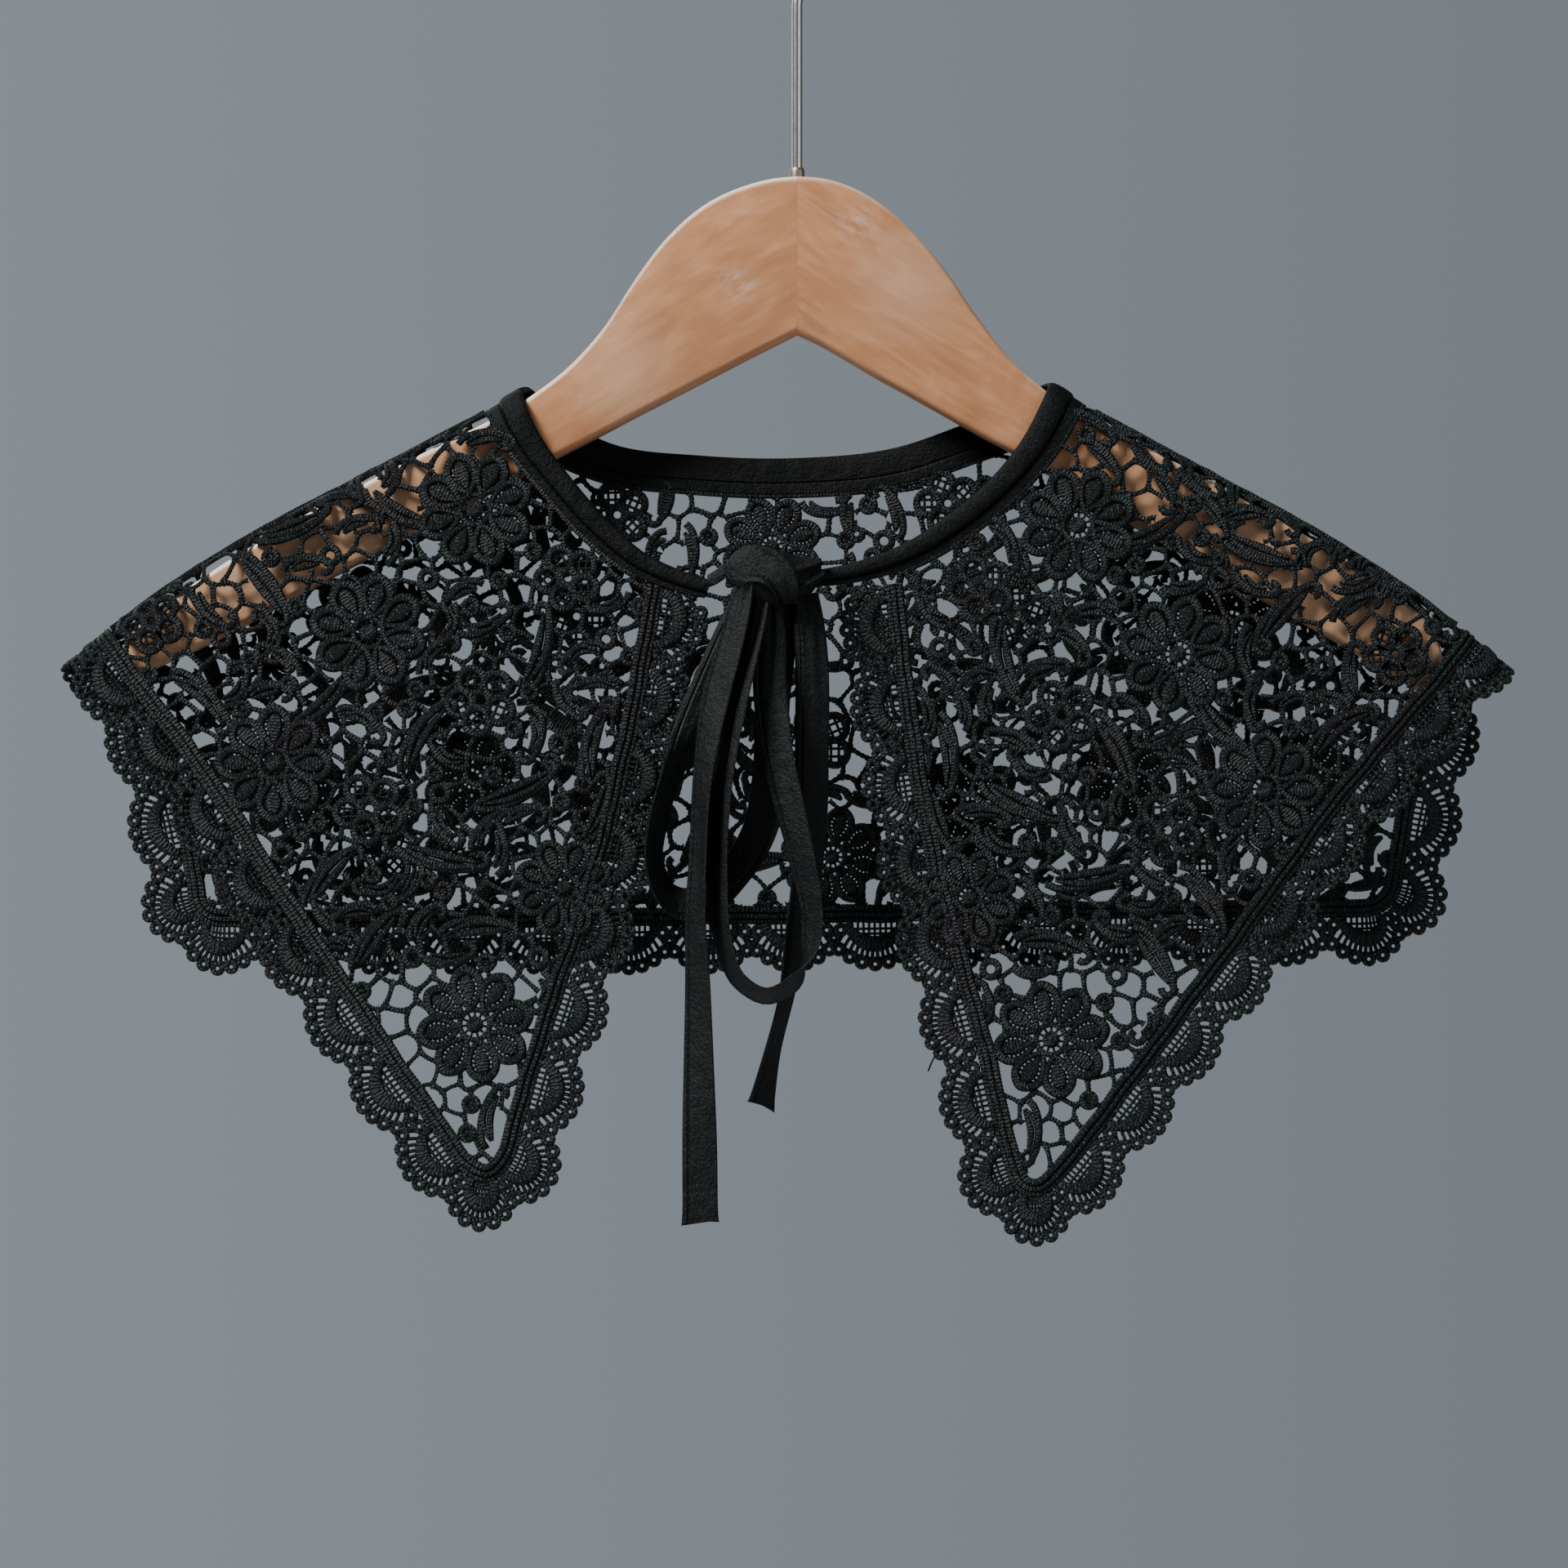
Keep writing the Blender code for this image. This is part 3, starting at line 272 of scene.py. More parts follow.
def stitchedPiece(name, shapes, face, material, node):
    # all stitched shapes of one cloth, hung together; behind the arms the faces turn round
    points, heights, faces, uvs = [], [], [], []
    total = 0
    for flat, height, groups, marks in shapes:
        points.append(flat)
        heights.append(height)
        for group, mark in zip(groups, marks):
            faces.append((group if face < 0 else group[:, ::-1]) + total)
            uvs.append(mark if face < 0 else mark[:, ::-1])
        total += len(flat)
    hung = drape(np.vstack(points), np.concatenate(heights), face)
    return makePiece(name, hung, faces, uvs, material, node)


def petalHalf(share, halfWidth):
    # half a petal's width: the sine of pi times a power of the way out, to a power
    return halfWidth * np.maximum(np.sin(np.pi * share**1.35), 0.0)**0.62


def ovalPath(centre, turn, start, length, halfWidth, count):
    # out along one side of a petal and back along the other
    share = 0.5 * (1 - np.cos(np.linspace(0.0, np.pi, count // 2 + 1)))
    wide = petalHalf(share, halfWidth)
    out = np.column_stack([start + length * share, wide])
    back = np.column_stack([start + length * share, -wide])[-2:0:-1]
    return placed(np.vstack([out, back]), centre, turn)


def placed(points, centre, turn):
    # the points turned about the origin, then moved to the centre
    cos, sin = math.cos(turn), math.sin(turn)
    return np.column_stack([centre[0] + points[:, 0] * cos - points[:, 1] * sin,
                            centre[1] + points[:, 0] * sin + points[:, 1] * cos])


flower = dict(petals=8, start=5.6, length=13.3, halfWidth=4.75, rope=3.4, taper=1.5, ropeRise=2.1,
              ropePoints=26, gap=0.6, padRise=2.5, padLeast=1.2, heart=3.2, heartRise=2.2, ring=5.2,
              ringWidth=2.0, ringRise=1.7, spokes=11, spokeStart=2.8, bar=0.85, barRise=0.8)


def flowerShapes(centre, radius, turn):
    # a domed heart in a ring of small holes, and petals: a rope round a raised pad,
    # with rungs between them that leave rows of small holes
    size = radius / 20.0
    turns = turn + 2 * np.pi * np.arange(flower["petals"]) / flower["petals"]
    start, length, wide = (size * flower[key] for key in ("start", "length", "halfWidth"))
    ropes = [ovalPath(centre, a, start, length, wide, flower["ropePoints"]) for a in turns]
    t = np.linspace(0.0, 2 * np.pi, flower["ropePoints"], endpoint=False)
    thick = size * (flower["rope"] - flower["taper"] * (0.5 + 0.5 * np.cos(t)))
    share = np.linspace(0.08, 0.86, 11)
    taken = size * (flower["rope"] - flower["taper"] * (1 - share) + 2 * flower["gap"])
    swell = np.maximum(2 * petalHalf(share, wide) - taken, flower["padLeast"] * size)
    line = np.column_stack([start + length * share, 0 * share])
    pads = [placed(line, centre, a) for a in turns]
    share = np.linspace(0.2, 0.88, 7)
    reach = petalHalf(share, wide)
    rungs = [placed(np.array([[start + length * s, -r], [start + length * s, r]]), centre, a)
             for a in turns for s, r in zip(share, reach)]
    spokes = [placed(np.array([[flower["spokeStart"], 0.0], [flower["ring"], 0.0]]) * size, centre, a)
              for a in turn + 2 * np.pi * np.arange(flower["spokes"]) / flower["spokes"]]
    ring = circlePath(centre, flower["ring"] * size, 22)
    return [cordShapes(ropes, [thick] * len(ropes), flower["ropeRise"], 0.15, closed=True),
            cordShapes(pads, [swell] * len(pads), flower["padRise"], 0.2, around=8, groove=0.55),
            cordShapes([ring], flower["ringWidth"], flower["ringRise"], closed=True),
            cordShapes(spokes + rungs, flower["bar"], flower["barRise"], around=4),
            domeShapes(centre, flower["heart"] * size, flower["heartRise"])]


def circlePath(centre, radius, count):
    # points evenly round a circle
    angle = 2 * np.pi * np.arange(count) / count
    return np.column_stack([centre[0] + radius * np.cos(angle), centre[1] + radius * np.sin(angle)])


meshFlower = dict(petals=5, petal=4.35, petalOut=7.3, rope=2.7, ropeRise=1.8, ring=2.6, ringWidth=2.3,
                  ringRise=1.7, bar=0.95, barRise=0.7, levels=(-0.3, 0.32))


def meshFlowerShapes(centre, radius, turn):
    # round petals, each a rope round a net of thin bars, about a small ring
    size = radius / 13.0
    petal = meshFlower["petal"] * size
    bars, ropes = [], []
    for k in range(meshFlower["petals"]):
        out = np.array([[meshFlower["petalOut"] * size, 0.0]])
        middle = placed(out, centre, turn + 2 * np.pi * k / meshFlower["petals"])[0]
        ropes.append(circlePath(middle, petal, 18))
        for level in meshFlower["levels"]:
            reach = math.sqrt(1 - level**2) * petal
            line = np.array([[-reach, level * petal], [reach, level * petal]])
            bars += [placed(line, middle, 0.4 * k), placed(line, middle, 0.4 * k + np.pi / 2)]
    ring = circlePath(centre, meshFlower["ring"] * size, 12)
    return [cordShapes(ropes, meshFlower["rope"], meshFlower["ropeRise"], closed=True),
            cordShapes([ring], meshFlower["ringWidth"], meshFlower["ringRise"], closed=True),
            cordShapes(bars, meshFlower["bar"], meshFlower["barRise"], around=4)]


def leafPath(centre, turn, length, bow):
    # a bowed middle line
    t = np.linspace(-0.5, 0.5, 11)
    return placed(np.column_stack([t * length, bow * (np.cos(np.pi * t) - 0.5)]), centre, turn)


def scrollPath(centre, turn, length, halfWidth, hand):
    # a stem along one side of a leaf that curls round at its end
    t = np.linspace(0.0, 1.0, 10)
    stem = np.column_stack([(t - 0.55) * (length + 3.0), -(halfWidth + 0.9) * np.sin(np.pi * t**0.85)**0.7])
    curl = np.linspace(-0.5 * np.pi, 0.75 * np.pi, 7)[1:]
    hook = stem[-1] + np.column_stack([2.2 * np.cos(curl), 2.2 + 2.2 * np.sin(curl)])
    return placed(np.vstack([stem, hook]) * [1.0, hand], centre, turn)


# Motifs of the ordinary flower, leaf and ring kinds: place, reach, length and turn in degrees
frontMotifs = [
    # a, b, radius, length, turn
    (102.8, 117.0, 20.0, 0, 0), (138.0, 160.0, 20.0, 0, 0), (169.0, 205.5, 20.0, 0, 0),
    (98.3, 292.5, 20.0, 0, 0), (69.0, 245.0, 17.0, 0, 0),
    (70.5, 139.5, 12.0, 0, 0), (99.0, 182.0, 13.0, 0, 0), (136.0, 220.0, 13.0, 0, 0),
    (212.0, 158.0, 11.5, 0, 0),
    (151.6, 134.0, 4.0, 0, 0), (188.0, 163.0, 4.0, 0, 0), (165.0, 236.0, 4.0, 0, 0),
    (112.0, 214.0, 4.0, 0, 0), (57.0, 160.0, 4.0, 0, 0), (77.0, 269.0, 4.0, 0, 0),
    (120.0, 270.0, 4.0, 0, 0), (72.0, 196.0, 4.0, 0, 0), (118.0, 141.0, 4.0, 0, 0),
    (128.0, 118.0, 4.2, 15, -28), (165.0, 124.0, 4.2, 14, 20), (174.0, 145.0, 4.2, 16, -50),
    (153.5, 184.0, 4.2, 18, 45), (194.0, 184.0, 4.2, 15, -40), (118.0, 194.0, 4.4, 16, 60),
    (80.0, 164.0, 4.4, 17, 75), (86.0, 212.0, 4.4, 17, 25), (111.0, 236.0, 4.4, 18, -12),
    (149.0, 243.0, 4.2, 14, 52), (98.0, 260.0, 4.2, 13, 8), (133.0, 264.0, 4.2, 13, 55),
    (92.0, 324.0, 3.4, 10, 84), (60.0, 196.0, 4.0, 15, 80), (58.0, 218.0, 3.8, 11, 70)]
backMiddle = [
    # x, z, radius, length, turn
    (-8.7, -236.0, 17.5, 0, 0), (12.0, -343.0, 17.5, 0, 0), (-62.0, -225.0, 12.0, 0, 0),
    (52.0, -221.0, 12.0, 0, 0), (7.0, -303.0, 13.0, 0, 0), (-29.0, -332.0, 4.0, 0, 0),
    (-22.0, -272.0, 4.2, 16, 65), (26.0, -262.0, 4.2, 16, -50), (-36.0, -249.0, 4.0, 0, 0),
    (30.0, -234.0, 4.0, 0, 0), (-30.0, -305.0, 4.2, 16, 40), (33.0, -300.0, 4.2, 16, -60),
    (-14.0, -346.0, 4.0, 12, 15), (38.0, -342.0, 4.0, 12, -25)]
backPairs = [
    (76.0, -260.0, 12.0, 0, 0), (112.0, -316.0, 17.0, 0, 0), (60.0, -326.0, 19.0, 0, 0),
    (150.0, -262.0, 19.0, 0, 0), (176.0, -318.0, 19.0, 0, 0), (112.0, -232.0, 12.0, 0, 0),
    (84.0, -297.0, 4.2, 15, 30), (142.0, -340.0, 12.0, 0, 0), (205.0, -276.0, 4.2, 14, 60),
    (136.0, -288.0, 4.2, 15, -35), (100.0, -342.0, 4.0, 0, 0), (184.0, -284.0, 4.0, 0, 0)]
lace = dict(frontPitch=9.9, backPitch=10.4, cellScatter=0.5, brideWidth=1.8, brideRise=1.4, bead=0.14,
            frontStep=0.6, backStep=0.9, brideBow=0.6, flare=0.6, leafWidth=5.4, leafRise=2.5, leafBow=2.6,
            ringWidth=2.5, scrollWidth=2.6, fillPitch=12.6, fillRoom=3.6, knotRoom=1.2, knotRadius=2.35,
            knotWidth=2.2, topWidth=4.2)


def frontMotifsOn(side):
    # the front's motifs hung on one side, with mirrored turns
    rows = np.array(frontMotifs, float)
    turn = -side * rows[:, 4] - math.degrees(collar["tilt"])
    return np.column_stack([hangFlat(rows[:, :2], side), rows[:, 2:4], turn])


def motifShapes(motifs, halves):
    # the reach of a motif says which kind it is; a leaf is one pad, or two beside its vein
    flowers, leaves, swells, rings, scrolls = [], [], [], [], []
    for k, (x, z, radius, length, turn) in enumerate(motifs):
        angle = math.radians(turn)
        if length:
            full = lace["leafWidth"] * radius / 4.2
            hand = 1 if scatter(k, 7) > 0.5 else -1
            bow = -hand * lace["leafBow"] * (0.3 + scatter(k, 13))
            middle = leafPath((x, z), angle, length + 2 * radius - 1.0, bow)
            swell = 0.5 + full * np.sin(np.linspace(0.12, np.pi - 0.12, 11))**0.8
            for part in halves:
                leaves.append(sideways(middle, 0.27 * part * swell))
                swells.append(swell / len(halves) + 0.1 * abs(part))
            scrolls.append(scrollPath((x, z), angle, length + 2 * radius, 0.5 * full, hand))
        elif radius < 6:
            rings.append(circlePath((x, z), radius - 0.5 * lace["ringWidth"], 16))
        elif radius < 15:
            flowers += meshFlowerShapes((x, z), radius, 0.5 + 1.3 * k)
        else:
            flowers += flowerShapes((x, z), radius, 0.35 + 0.21 * k)
    sides = 8 if len(halves) == 1 else 6
    return flowers, [cordShapes(leaves, swells, lace["leafRise"], 0.1, around=sides, groove=0.4)], [
        cordShapes(rings, lace["ringWidth"], 1.9, closed=True), cordShapes(scrolls, lace["scrollWidth"], 1.8)]


def clearOf(points, motifs):
    # least distance from points to the motifs' rims, negative inside one
    x, z, radius, length, turn = np.array(motifs, float).T
    reach = 0.5 * length[:, None] * np.column_stack([np.cos(np.radians(turn)), np.sin(np.radians(turn))])
    start, span = np.column_stack([x, z]) - reach, 2 * reach
    share = ((points[:, None] - start) * span).sum(axis=2) / np.maximum((span**2).sum(axis=1), 1e-9)
    spine = start + np.clip(share, 0.0, 1.0)[..., None] * span
    return (np.linalg.norm(points[:, None] - spine, axis=2) - radius).min(axis=1)


def hexPoints(outline, pitch, salt):
    # an uneven hexagonal grid over the outline's box
    low, high = outline.min(axis=0) - 2 * pitch, outline.max(axis=0) + 2 * pitch
    rowStep = 0.866
    across = int((high[0] - low[0]) / pitch) + 1
    rows = int((high[1] - low[1]) / (rowStep * pitch)) + 1
    index = np.arange(across * rows)
    row, column = np.divmod(index, across)
    move = lace["cellScatter"] * (np.column_stack([scatter(index, salt), scatter(index, salt + 1)]) - 0.5)
    return low + pitch * (np.column_stack([column + 0.5 * (row % 2), rowStep * row]) + move)


def fillLeaves(motifs, outline):
    # small leaves in what room is left, turned to go round the nearest flower
    motifs = [tuple(motif) for motif in motifs]
    flowers = np.array([motif[:2] for motif in motifs if motif[2] > 10])
    spots = hexPoints(outline, lace["fillPitch"], 21)
    spots = spots[inside(outline, spots) & (clearOf(spots, motifs) > lace["fillRoom"])]
    for k, spot in enumerate(spots):
        away = flowers - spot
        near = away[np.argmin((away**2).sum(axis=1))]
        turn = math.degrees(math.atan2(near[1], near[0])) + 90 + 70 * (scatter(k, 5) - 0.5)
        length = 3.5 + 5.5 * scatter(k, 6)
        radius = 2.3 + 1.0 * scatter(k, 8)
        reach = 0.5 * length * np.array([math.cos(math.radians(turn)), math.sin(math.radians(turn))])
        ends = np.array([spot - reach, spot, spot + reach])
        if clearOf(ends, motifs).min() > radius - 0.8 and inside(outline, ends).all():
            motifs.append((spot[0], spot[1], radius, length, turn))
    return motifs


def cellBorders(outline, pitch):
    # centres of the circles through the triangles between scattered points, and the borders
    # between the points: each joins the centres of two neighbouring triangles
    found = delaunay_2d_cdt([Vector(seed) for seed in hexPoints(outline, pitch, 1)], [], [], 0, 1e-4, False)
    flat = np.array([tuple(point) for point in found[0]])
    corners = np.array([list(face) for face in found[2]])
    a, b, c = flat[corners[:, 0]], flat[corners[:, 1]], flat[corners[:, 2]]
    b, c = b - a, c - a
    double = 2 * (b[:, 0] * c[:, 1] - b[:, 1] * c[:, 0])
    bb, cc = (b**2).sum(axis=1), (c**2).sum(axis=1)
    turned = np.column_stack([c[:, 1] * bb - b[:, 1] * cc, b[:, 0] * cc - c[:, 0] * bb])
    centre = a + turned / double[:, None]
    pairs = np.sort(np.vstack([corners[:, [0, 1]], corners[:, [1, 2]], corners[:, [2, 0]]]), axis=1)
    owner = np.tile(np.arange(len(corners)), 3)
    order = np.lexsort((pairs[:, 1], pairs[:, 0]))
    pairs, owner = pairs[order], owner[order]
    twin = np.flatnonzero((pairs[1:] == pairs[:-1]).all(axis=1))
    return centre, centre[owner[twin]], centre[owner[twin + 1]]


def openStretches(start, end, outline, motifs):
    # what the motifs and the outline leave of each border, which may run a little way into a
    # motif, and further into a large one
    solid = np.array(motifs, float)
    solid[:, 2] -= np.where(solid[:, 2] > 15, 4.0, np.where(solid[:, 2] > 10, 2.6, 1.0))
    t = np.linspace(0.0, 1.0, 17)
    samples = (start[:, None] + t[:, None] * (end - start)[:, None]).reshape(-1, 2)
    free = (inside(outline, samples) & (clearOf(samples, solid) > 0)).reshape(len(start), -1)
    whole = free.all(axis=1)
    blocked = (~free).argmax(axis=1)
    later = len(t) - 1 - (~free)[:, ::-1].argmax(axis=1)
    span = end - start
    lead = ~whole & (blocked > 0)
    tail = ~whole & (later < len(t) - 1)
    begin = np.vstack([start[whole], start[lead], (start + t[later][:, None] * span)[tail]])
    finish = np.vstack([end[whole], (start + t[blocked][:, None] * span)[lead], end[tail]])
    length = np.linalg.norm(finish - begin, axis=1)
    good = (length > 1.0) & (length < 22.0)
    return begin[good], finish[good], length[good]


def brideShapes(outline, motifs, pitch, step):
    # bowed and beaded bars along what is open of the borders, and rings at some of their ends
    centre, start, end = cellBorders(outline, pitch)
    begin, finish, length = openStretches(start, end, outline, motifs)
    bow = lace["brideBow"] * (2 * scatter(np.arange(len(begin)), 3) - 1)
    wide = lace["brideWidth"] * (0.85 + 0.35 * scatter(np.arange(len(begin)), 4))
    paths, widths = [], []
    for k in range(len(begin)):
        t = np.linspace(0.0, 1.0, max(3, round(length[k] / step) + 1))[:, None]
        along = (finish[k] - begin[k]) / length[k]
        paths.append(begin[k] + t * (finish[k] - begin[k])
                     + bow[k] * np.sin(np.pi * t) * np.array([-along[1], along[0]]))
        beads = 1 + lace["bead"] * (-1.0)**np.arange(len(t))
        widths.append(wide[k] * beads * (1 + lace["flare"] * np.abs(2 * t[:, 0] - 1)**3))
    knots = centre[inside(outline, centre) & (clearOf(centre, motifs) > lace["knotRoom"])]
    pick = scatter(np.arange(len(knots)), 9)
    rings = [circlePath(knot, lace["knotRadius"], 14) for knot in knots[::2][pick[::2] < 0.35]]
    return [cordShapes(paths, widths, lace["brideRise"], around=5)], [
        cordShapes(rings, lace["knotWidth"], 1.7, closed=True)]


def pastSeam(neck):
    # the binding's outer edge, moved on into the lace by the seam's gap
    ease = neck[:, 2:] - neck[:, :2]
    return neck[:, 2:] + unit(ease) * collar["seamGap"]


def upToFold(rim, neck, side):
    # the rim as far as the fold, then along the fold to the neck, and that stretch alone
    depth = belowFold(rim, side) - foldTop
    last = int(np.flatnonzero(depth > 0)[-1])
    start, length, along, _ = foldFrame(side)
    top = np.array([toFold(start + along * out, side) for out in np.arange(length + 20.0, 4.0, -4.0)])
    top = top[((rim[last, 0] - top[:, 0]) * side > 1.0) & ((top[:, 0] - neck[0, 0]) * side > 1.0)]
    return np.vstack([rim[:last + 1], toFold(rim[last], side)[None], top, neck]), top


def topCord(tops):
    # the shoulder's dense upper edge, which swells and thins unevenly
    widths = [lace["topWidth"] * (0.5 + 0.5 * scatter(np.arange(len(top)), 11)) for top in tops]
    return cordShapes(tops, widths, 3.0)


strayThread = [(53.5, -406.8), (49.5, -408.2), (46.4, -411.4), (44.6, -415.6)]

# Scalloped edging: u runs from -1 to 1 across a scallop and d outwards from the cord
edging = dict(
    cordHalf=3.2, ropes=[(-1.6, 2.7, 2.5), (0.65, 2.4, 2.1), (2.5, 2.0, 1.0)], ropeStep=0.65, ropeBead=0.09,
    wander=0.17, pitch=28.0, trace=15.0, valley=13.4, rise=6.9, arcReach=0.68, arcFoot=3.4, arcRise=7.5,
    arcPower=0.7, arcThin=2.8, arcFull=2.8, netPitch=1.9, netFoot=2.4, netRows=(5.6, 7.3), netBar=0.9,
    bars=14, barWidth=1.25, barSpread=1.42, barSag=3.2, barTip=3.4, picots=7, picotRadius=1.62,
    picotWidth=2.05, picotIn=2.45, valleyPicots=[(-0.83, 5.9), (0.83, 5.9), (-1.0, 8.9)], edgeIn=4.4)


def scallopPaths(route, outward, us, ds):
    # the same path in every scallop, placed by its (u, d) along and out from the route
    at = travelled(sideways(route, outward * edging["trace"]))
    count = round(at[-1] / edging["pitch"])
    us, ds = np.asarray(us, float), np.asarray(ds, float)
    share = (np.arange(count)[:, None] + 0.5 + 0.5 * us) / count
    index = np.arange(len(route))
    place = np.interp(share * at[-1], at, index)
    step = unit(np.gradient(route, axis=0))
    normal = outward * np.column_stack([-step[:, 1], step[:, 0]])
    spot, away = (np.stack([np.interp(place, index, values[:, k]) for k in (0, 1)], axis=2)
                  for values in (route, normal))
    return list(spot + unit(away) * ds[:, None])


def contour(u):
    # the scallop's outer rim
    return edging["valley"] + edging["rise"] * (1 - u**2)


def arcLine(u):
    # the satin arc's middle line, from foot to foot on the cord
    dome = np.maximum(1 - (u / edging["arcReach"])**2, 0.0)**edging["arcPower"]
    return edging["arcFoot"] + edging["arcRise"] * dome


def kept(paths, allowed, widths=None):
    # each path's stretch inside the allowed region, if it is long enough to stitch
    result, wide = [], []
    for k, path in enumerate(paths):
        good = allowed(path)
        if good.sum() >= 2:
            first, last = good.argmax(), len(good) - good[::-1].argmax()
            result.append(path[first:last])
            if widths is not None:
                wide.append(widths[k][first:last])
    return (result, wide) if widths is not None else result


def edgingShapes(route, outward, allowed):
    # cords side by side that wander a little together
    shapes = []
    along = np.arange(len(route))
    wander = edging["wander"] * (np.sin(along / 6.1) + 0.7 * np.sin(along / 2.9 + 1.0))
    for offset, width, rise in edging["ropes"]:
        rope = evenly(sideways(route, outward * offset + wander), edging["ropeStep"])
        bead = width * (1 + edging["ropeBead"] * (-1.0)**np.arange(len(rope)))
        shapes.append(cordShapes(*kept([rope], allowed, [bead]), rise))
    # satin arc from foot to foot, thick in the middle
    whole = np.linspace(-1.0, 1.0, 17)
    u = whole * edging["arcReach"]
    swell = edging["arcThin"] + edging["arcFull"] * (1 - (u / edging["arcReach"])**2)
    paths = scallopPaths(route, outward, u, arcLine(u))
    shapes.append(cordShapes(*kept(paths, allowed, [swell] * len(paths)), 2.5, 0.1, around=8))
    # square net between the cord and the arc
    net = []
    for place in np.arange(-4, 5) * edging["netPitch"] * 2 / edging["pitch"]:
        net += scallopPaths(route, outward, [place] * 3, np.linspace(edging["netFoot"], arcLine(place), 3))
    for depth in edging["netRows"]:
        level = (depth - edging["arcFoot"]) / edging["arcRise"]
        reach = edging["arcReach"] * math.sqrt(1 - level**(1 / edging["arcPower"]))
        net += scallopPaths(route, outward, np.linspace(-reach, reach, 9), np.full(9, depth))
    shapes.append(cordShapes(kept(net, allowed), edging["netBar"], 0.8, around=4))
    # bars that fan out from the arc, and a thin cord that their ends meet
    bars = []
    for place in np.linspace(-1.0, 1.0, edging["bars"]) * edging["arcReach"] * 0.96:
        outer = min(edging["barSpread"] * abs(place), 0.97) * math.copysign(1, place)
        rim = contour(outer)
        bars += scallopPaths(route, outward, [place, 0.5 * (place + outer), outer],
                             [arcLine(place) + 0.6, 0.5 * (arcLine(place) + rim - edging["barSag"]),
                              rim - edging["barTip"]])
    shapes.append(cordShapes(kept(bars, allowed), edging["barWidth"], 1.0, around=4))
    # picot rings evenly along the contour, and more of them filling the valleys
    fine = np.linspace(-1.0, 1.0, 81)
    run = travelled(np.column_stack([fine * edging["pitch"] / 2, contour(fine)]))
    share = (np.arange(edging["picots"]) + 0.5) / edging["picots"]
    spots = [(place, contour(place) - edging["picotIn"]) for place in np.interp(share * run[-1], run, fine)]
    rings = []
    for place, depth in spots + edging["valleyPicots"]:
        middles = np.array(scallopPaths(route, outward, [place], [depth]))[:, 0]
        rings += [circlePath(middle, edging["picotRadius"], 12) for middle in middles]
    rings = [ring for ring in rings if allowed(ring).all()]
    shapes.append(cordShapes(rings, edging["picotWidth"], 1.5, around=6, closed=True))
    edge = scallopPaths(route, outward, whole, contour(whole) - edging["edgeIn"])
    shapes.append(cordShapes(kept(edge, allowed), 1.1, 1.0, around=4))
    return shapes


binding = dict(width=13.0, section=[
    # share across, height
    (0.0, 0.2), (0.02, 0.8), (0.07, 1.25), (0.14, 1.6), (0.24, 1.82), (0.38, 1.92), (0.5, 1.85),
    (0.6, 1.6), (0.66, 1.2), (0.69, 0.8), (0.73, 0.72), (0.86, 0.66), (0.97, 0.55), (1.0, 0.0),
    (0.97, -0.7), (0.7, -0.8), (0.4, -0.8), (0.12, -0.7), (0.02, -0.3)])


def signedVolume(rings):
    # sign of the volume that the loft's faces enclose as they are ordered
    here, follow = rings, np.roll(rings, -1, axis=1)
    a, b, c, d = here[:-1], follow[:-1], follow[1:], here[1:]
    mean = rings.mean(axis=(0, 1))
    pairs = ((b - mean, c - mean, a - mean), (c - mean, d - mean, a - mean))
    return float(sum((np.cross(p, q) * r).sum() for p, q, r in pairs))


def loftPiece(name, lofts, material, node):
    # skins through rings of points, with flat ends; UVs run along and round each
    points, faces, uvs = [], [], []
    total = 0
    for rings, u, v in lofts:
        stations, around = rings.shape[:2]
        start = np.arange(stations - 1)[:, None] * around
        sides = ringFaces(start, start + around, around)
        ends = capFaces(0, (stations - 1) * around, around)
        uv = ringMarks(u[:-1, None], u[1:, None], v[:-1], v[1:])
        order = slice(None, None, -1 if signedVolume(rings) < 0 else 1)
        faces += [sides[:, order] + total, ends[:, order] + total]
        uvs += [uv[:, order], np.zeros((2, around, 2))]
        points.append(rings.reshape(-1, 3))
        total += stations * around
    piece = makePiece(name, np.vstack(points), faces, uvs, material, node)
    piece.data.set_sharp_from_angle(angle=math.radians(42.0))
    return piece


def bindingPiece(name, edges, face, material, node):
    # the section, a share of the way across at a height, hung along both edges
    rings = np.stack([drape(edges[:, :2] + share * (edges[:, 2:] - edges[:, :2]), height, face)
                      for share, height in binding["section"]], axis=1)
    across = binding["width"] * np.array([share for share, _ in binding["section"]] + [0.0])
    return loftPiece(name, [(rings, travelled(edges[:, :2]), across)], material, node)


def neckShift(points, side):
    # how far the neck line hangs lower on one side, from nothing at the shoulder
    return neckDrop[side] * np.clip((points[:, 1] - 100.0) / 26.0, 0.0, 1.0)


def frontNeckEdges(side):
    # both edges of the binding on one front, as far as the tie
    rows = np.array(frontNeck)
    rows[:, 1] += neckShift(rows[:, :2], side)
    rows[:, 3] += neckShift(rows[:, :2], side)
    both = np.column_stack([hangFlat(rows[:, :2], side), hangFlat(rows[:, 2:], side)])
    both[0] = np.r_[toFold(both[0, :2], side), toFold(both[0, 2:], side)]
    both = smoothCurve(both, 64)
    return both[np.abs(both[:, 0] - collar["shift"]) > neckEnd[side]]


def backNeckEdges():
    # both edges of the binding behind, from fold to fold
    neck = np.array(backNeck)
    for row, side in ((0, -1), (-1, 1)):
        neck[row] = np.r_[toFold(neck[row, :2], side), toFold(neck[row, 2:], side)]
    return smoothCurve(neck, 110)


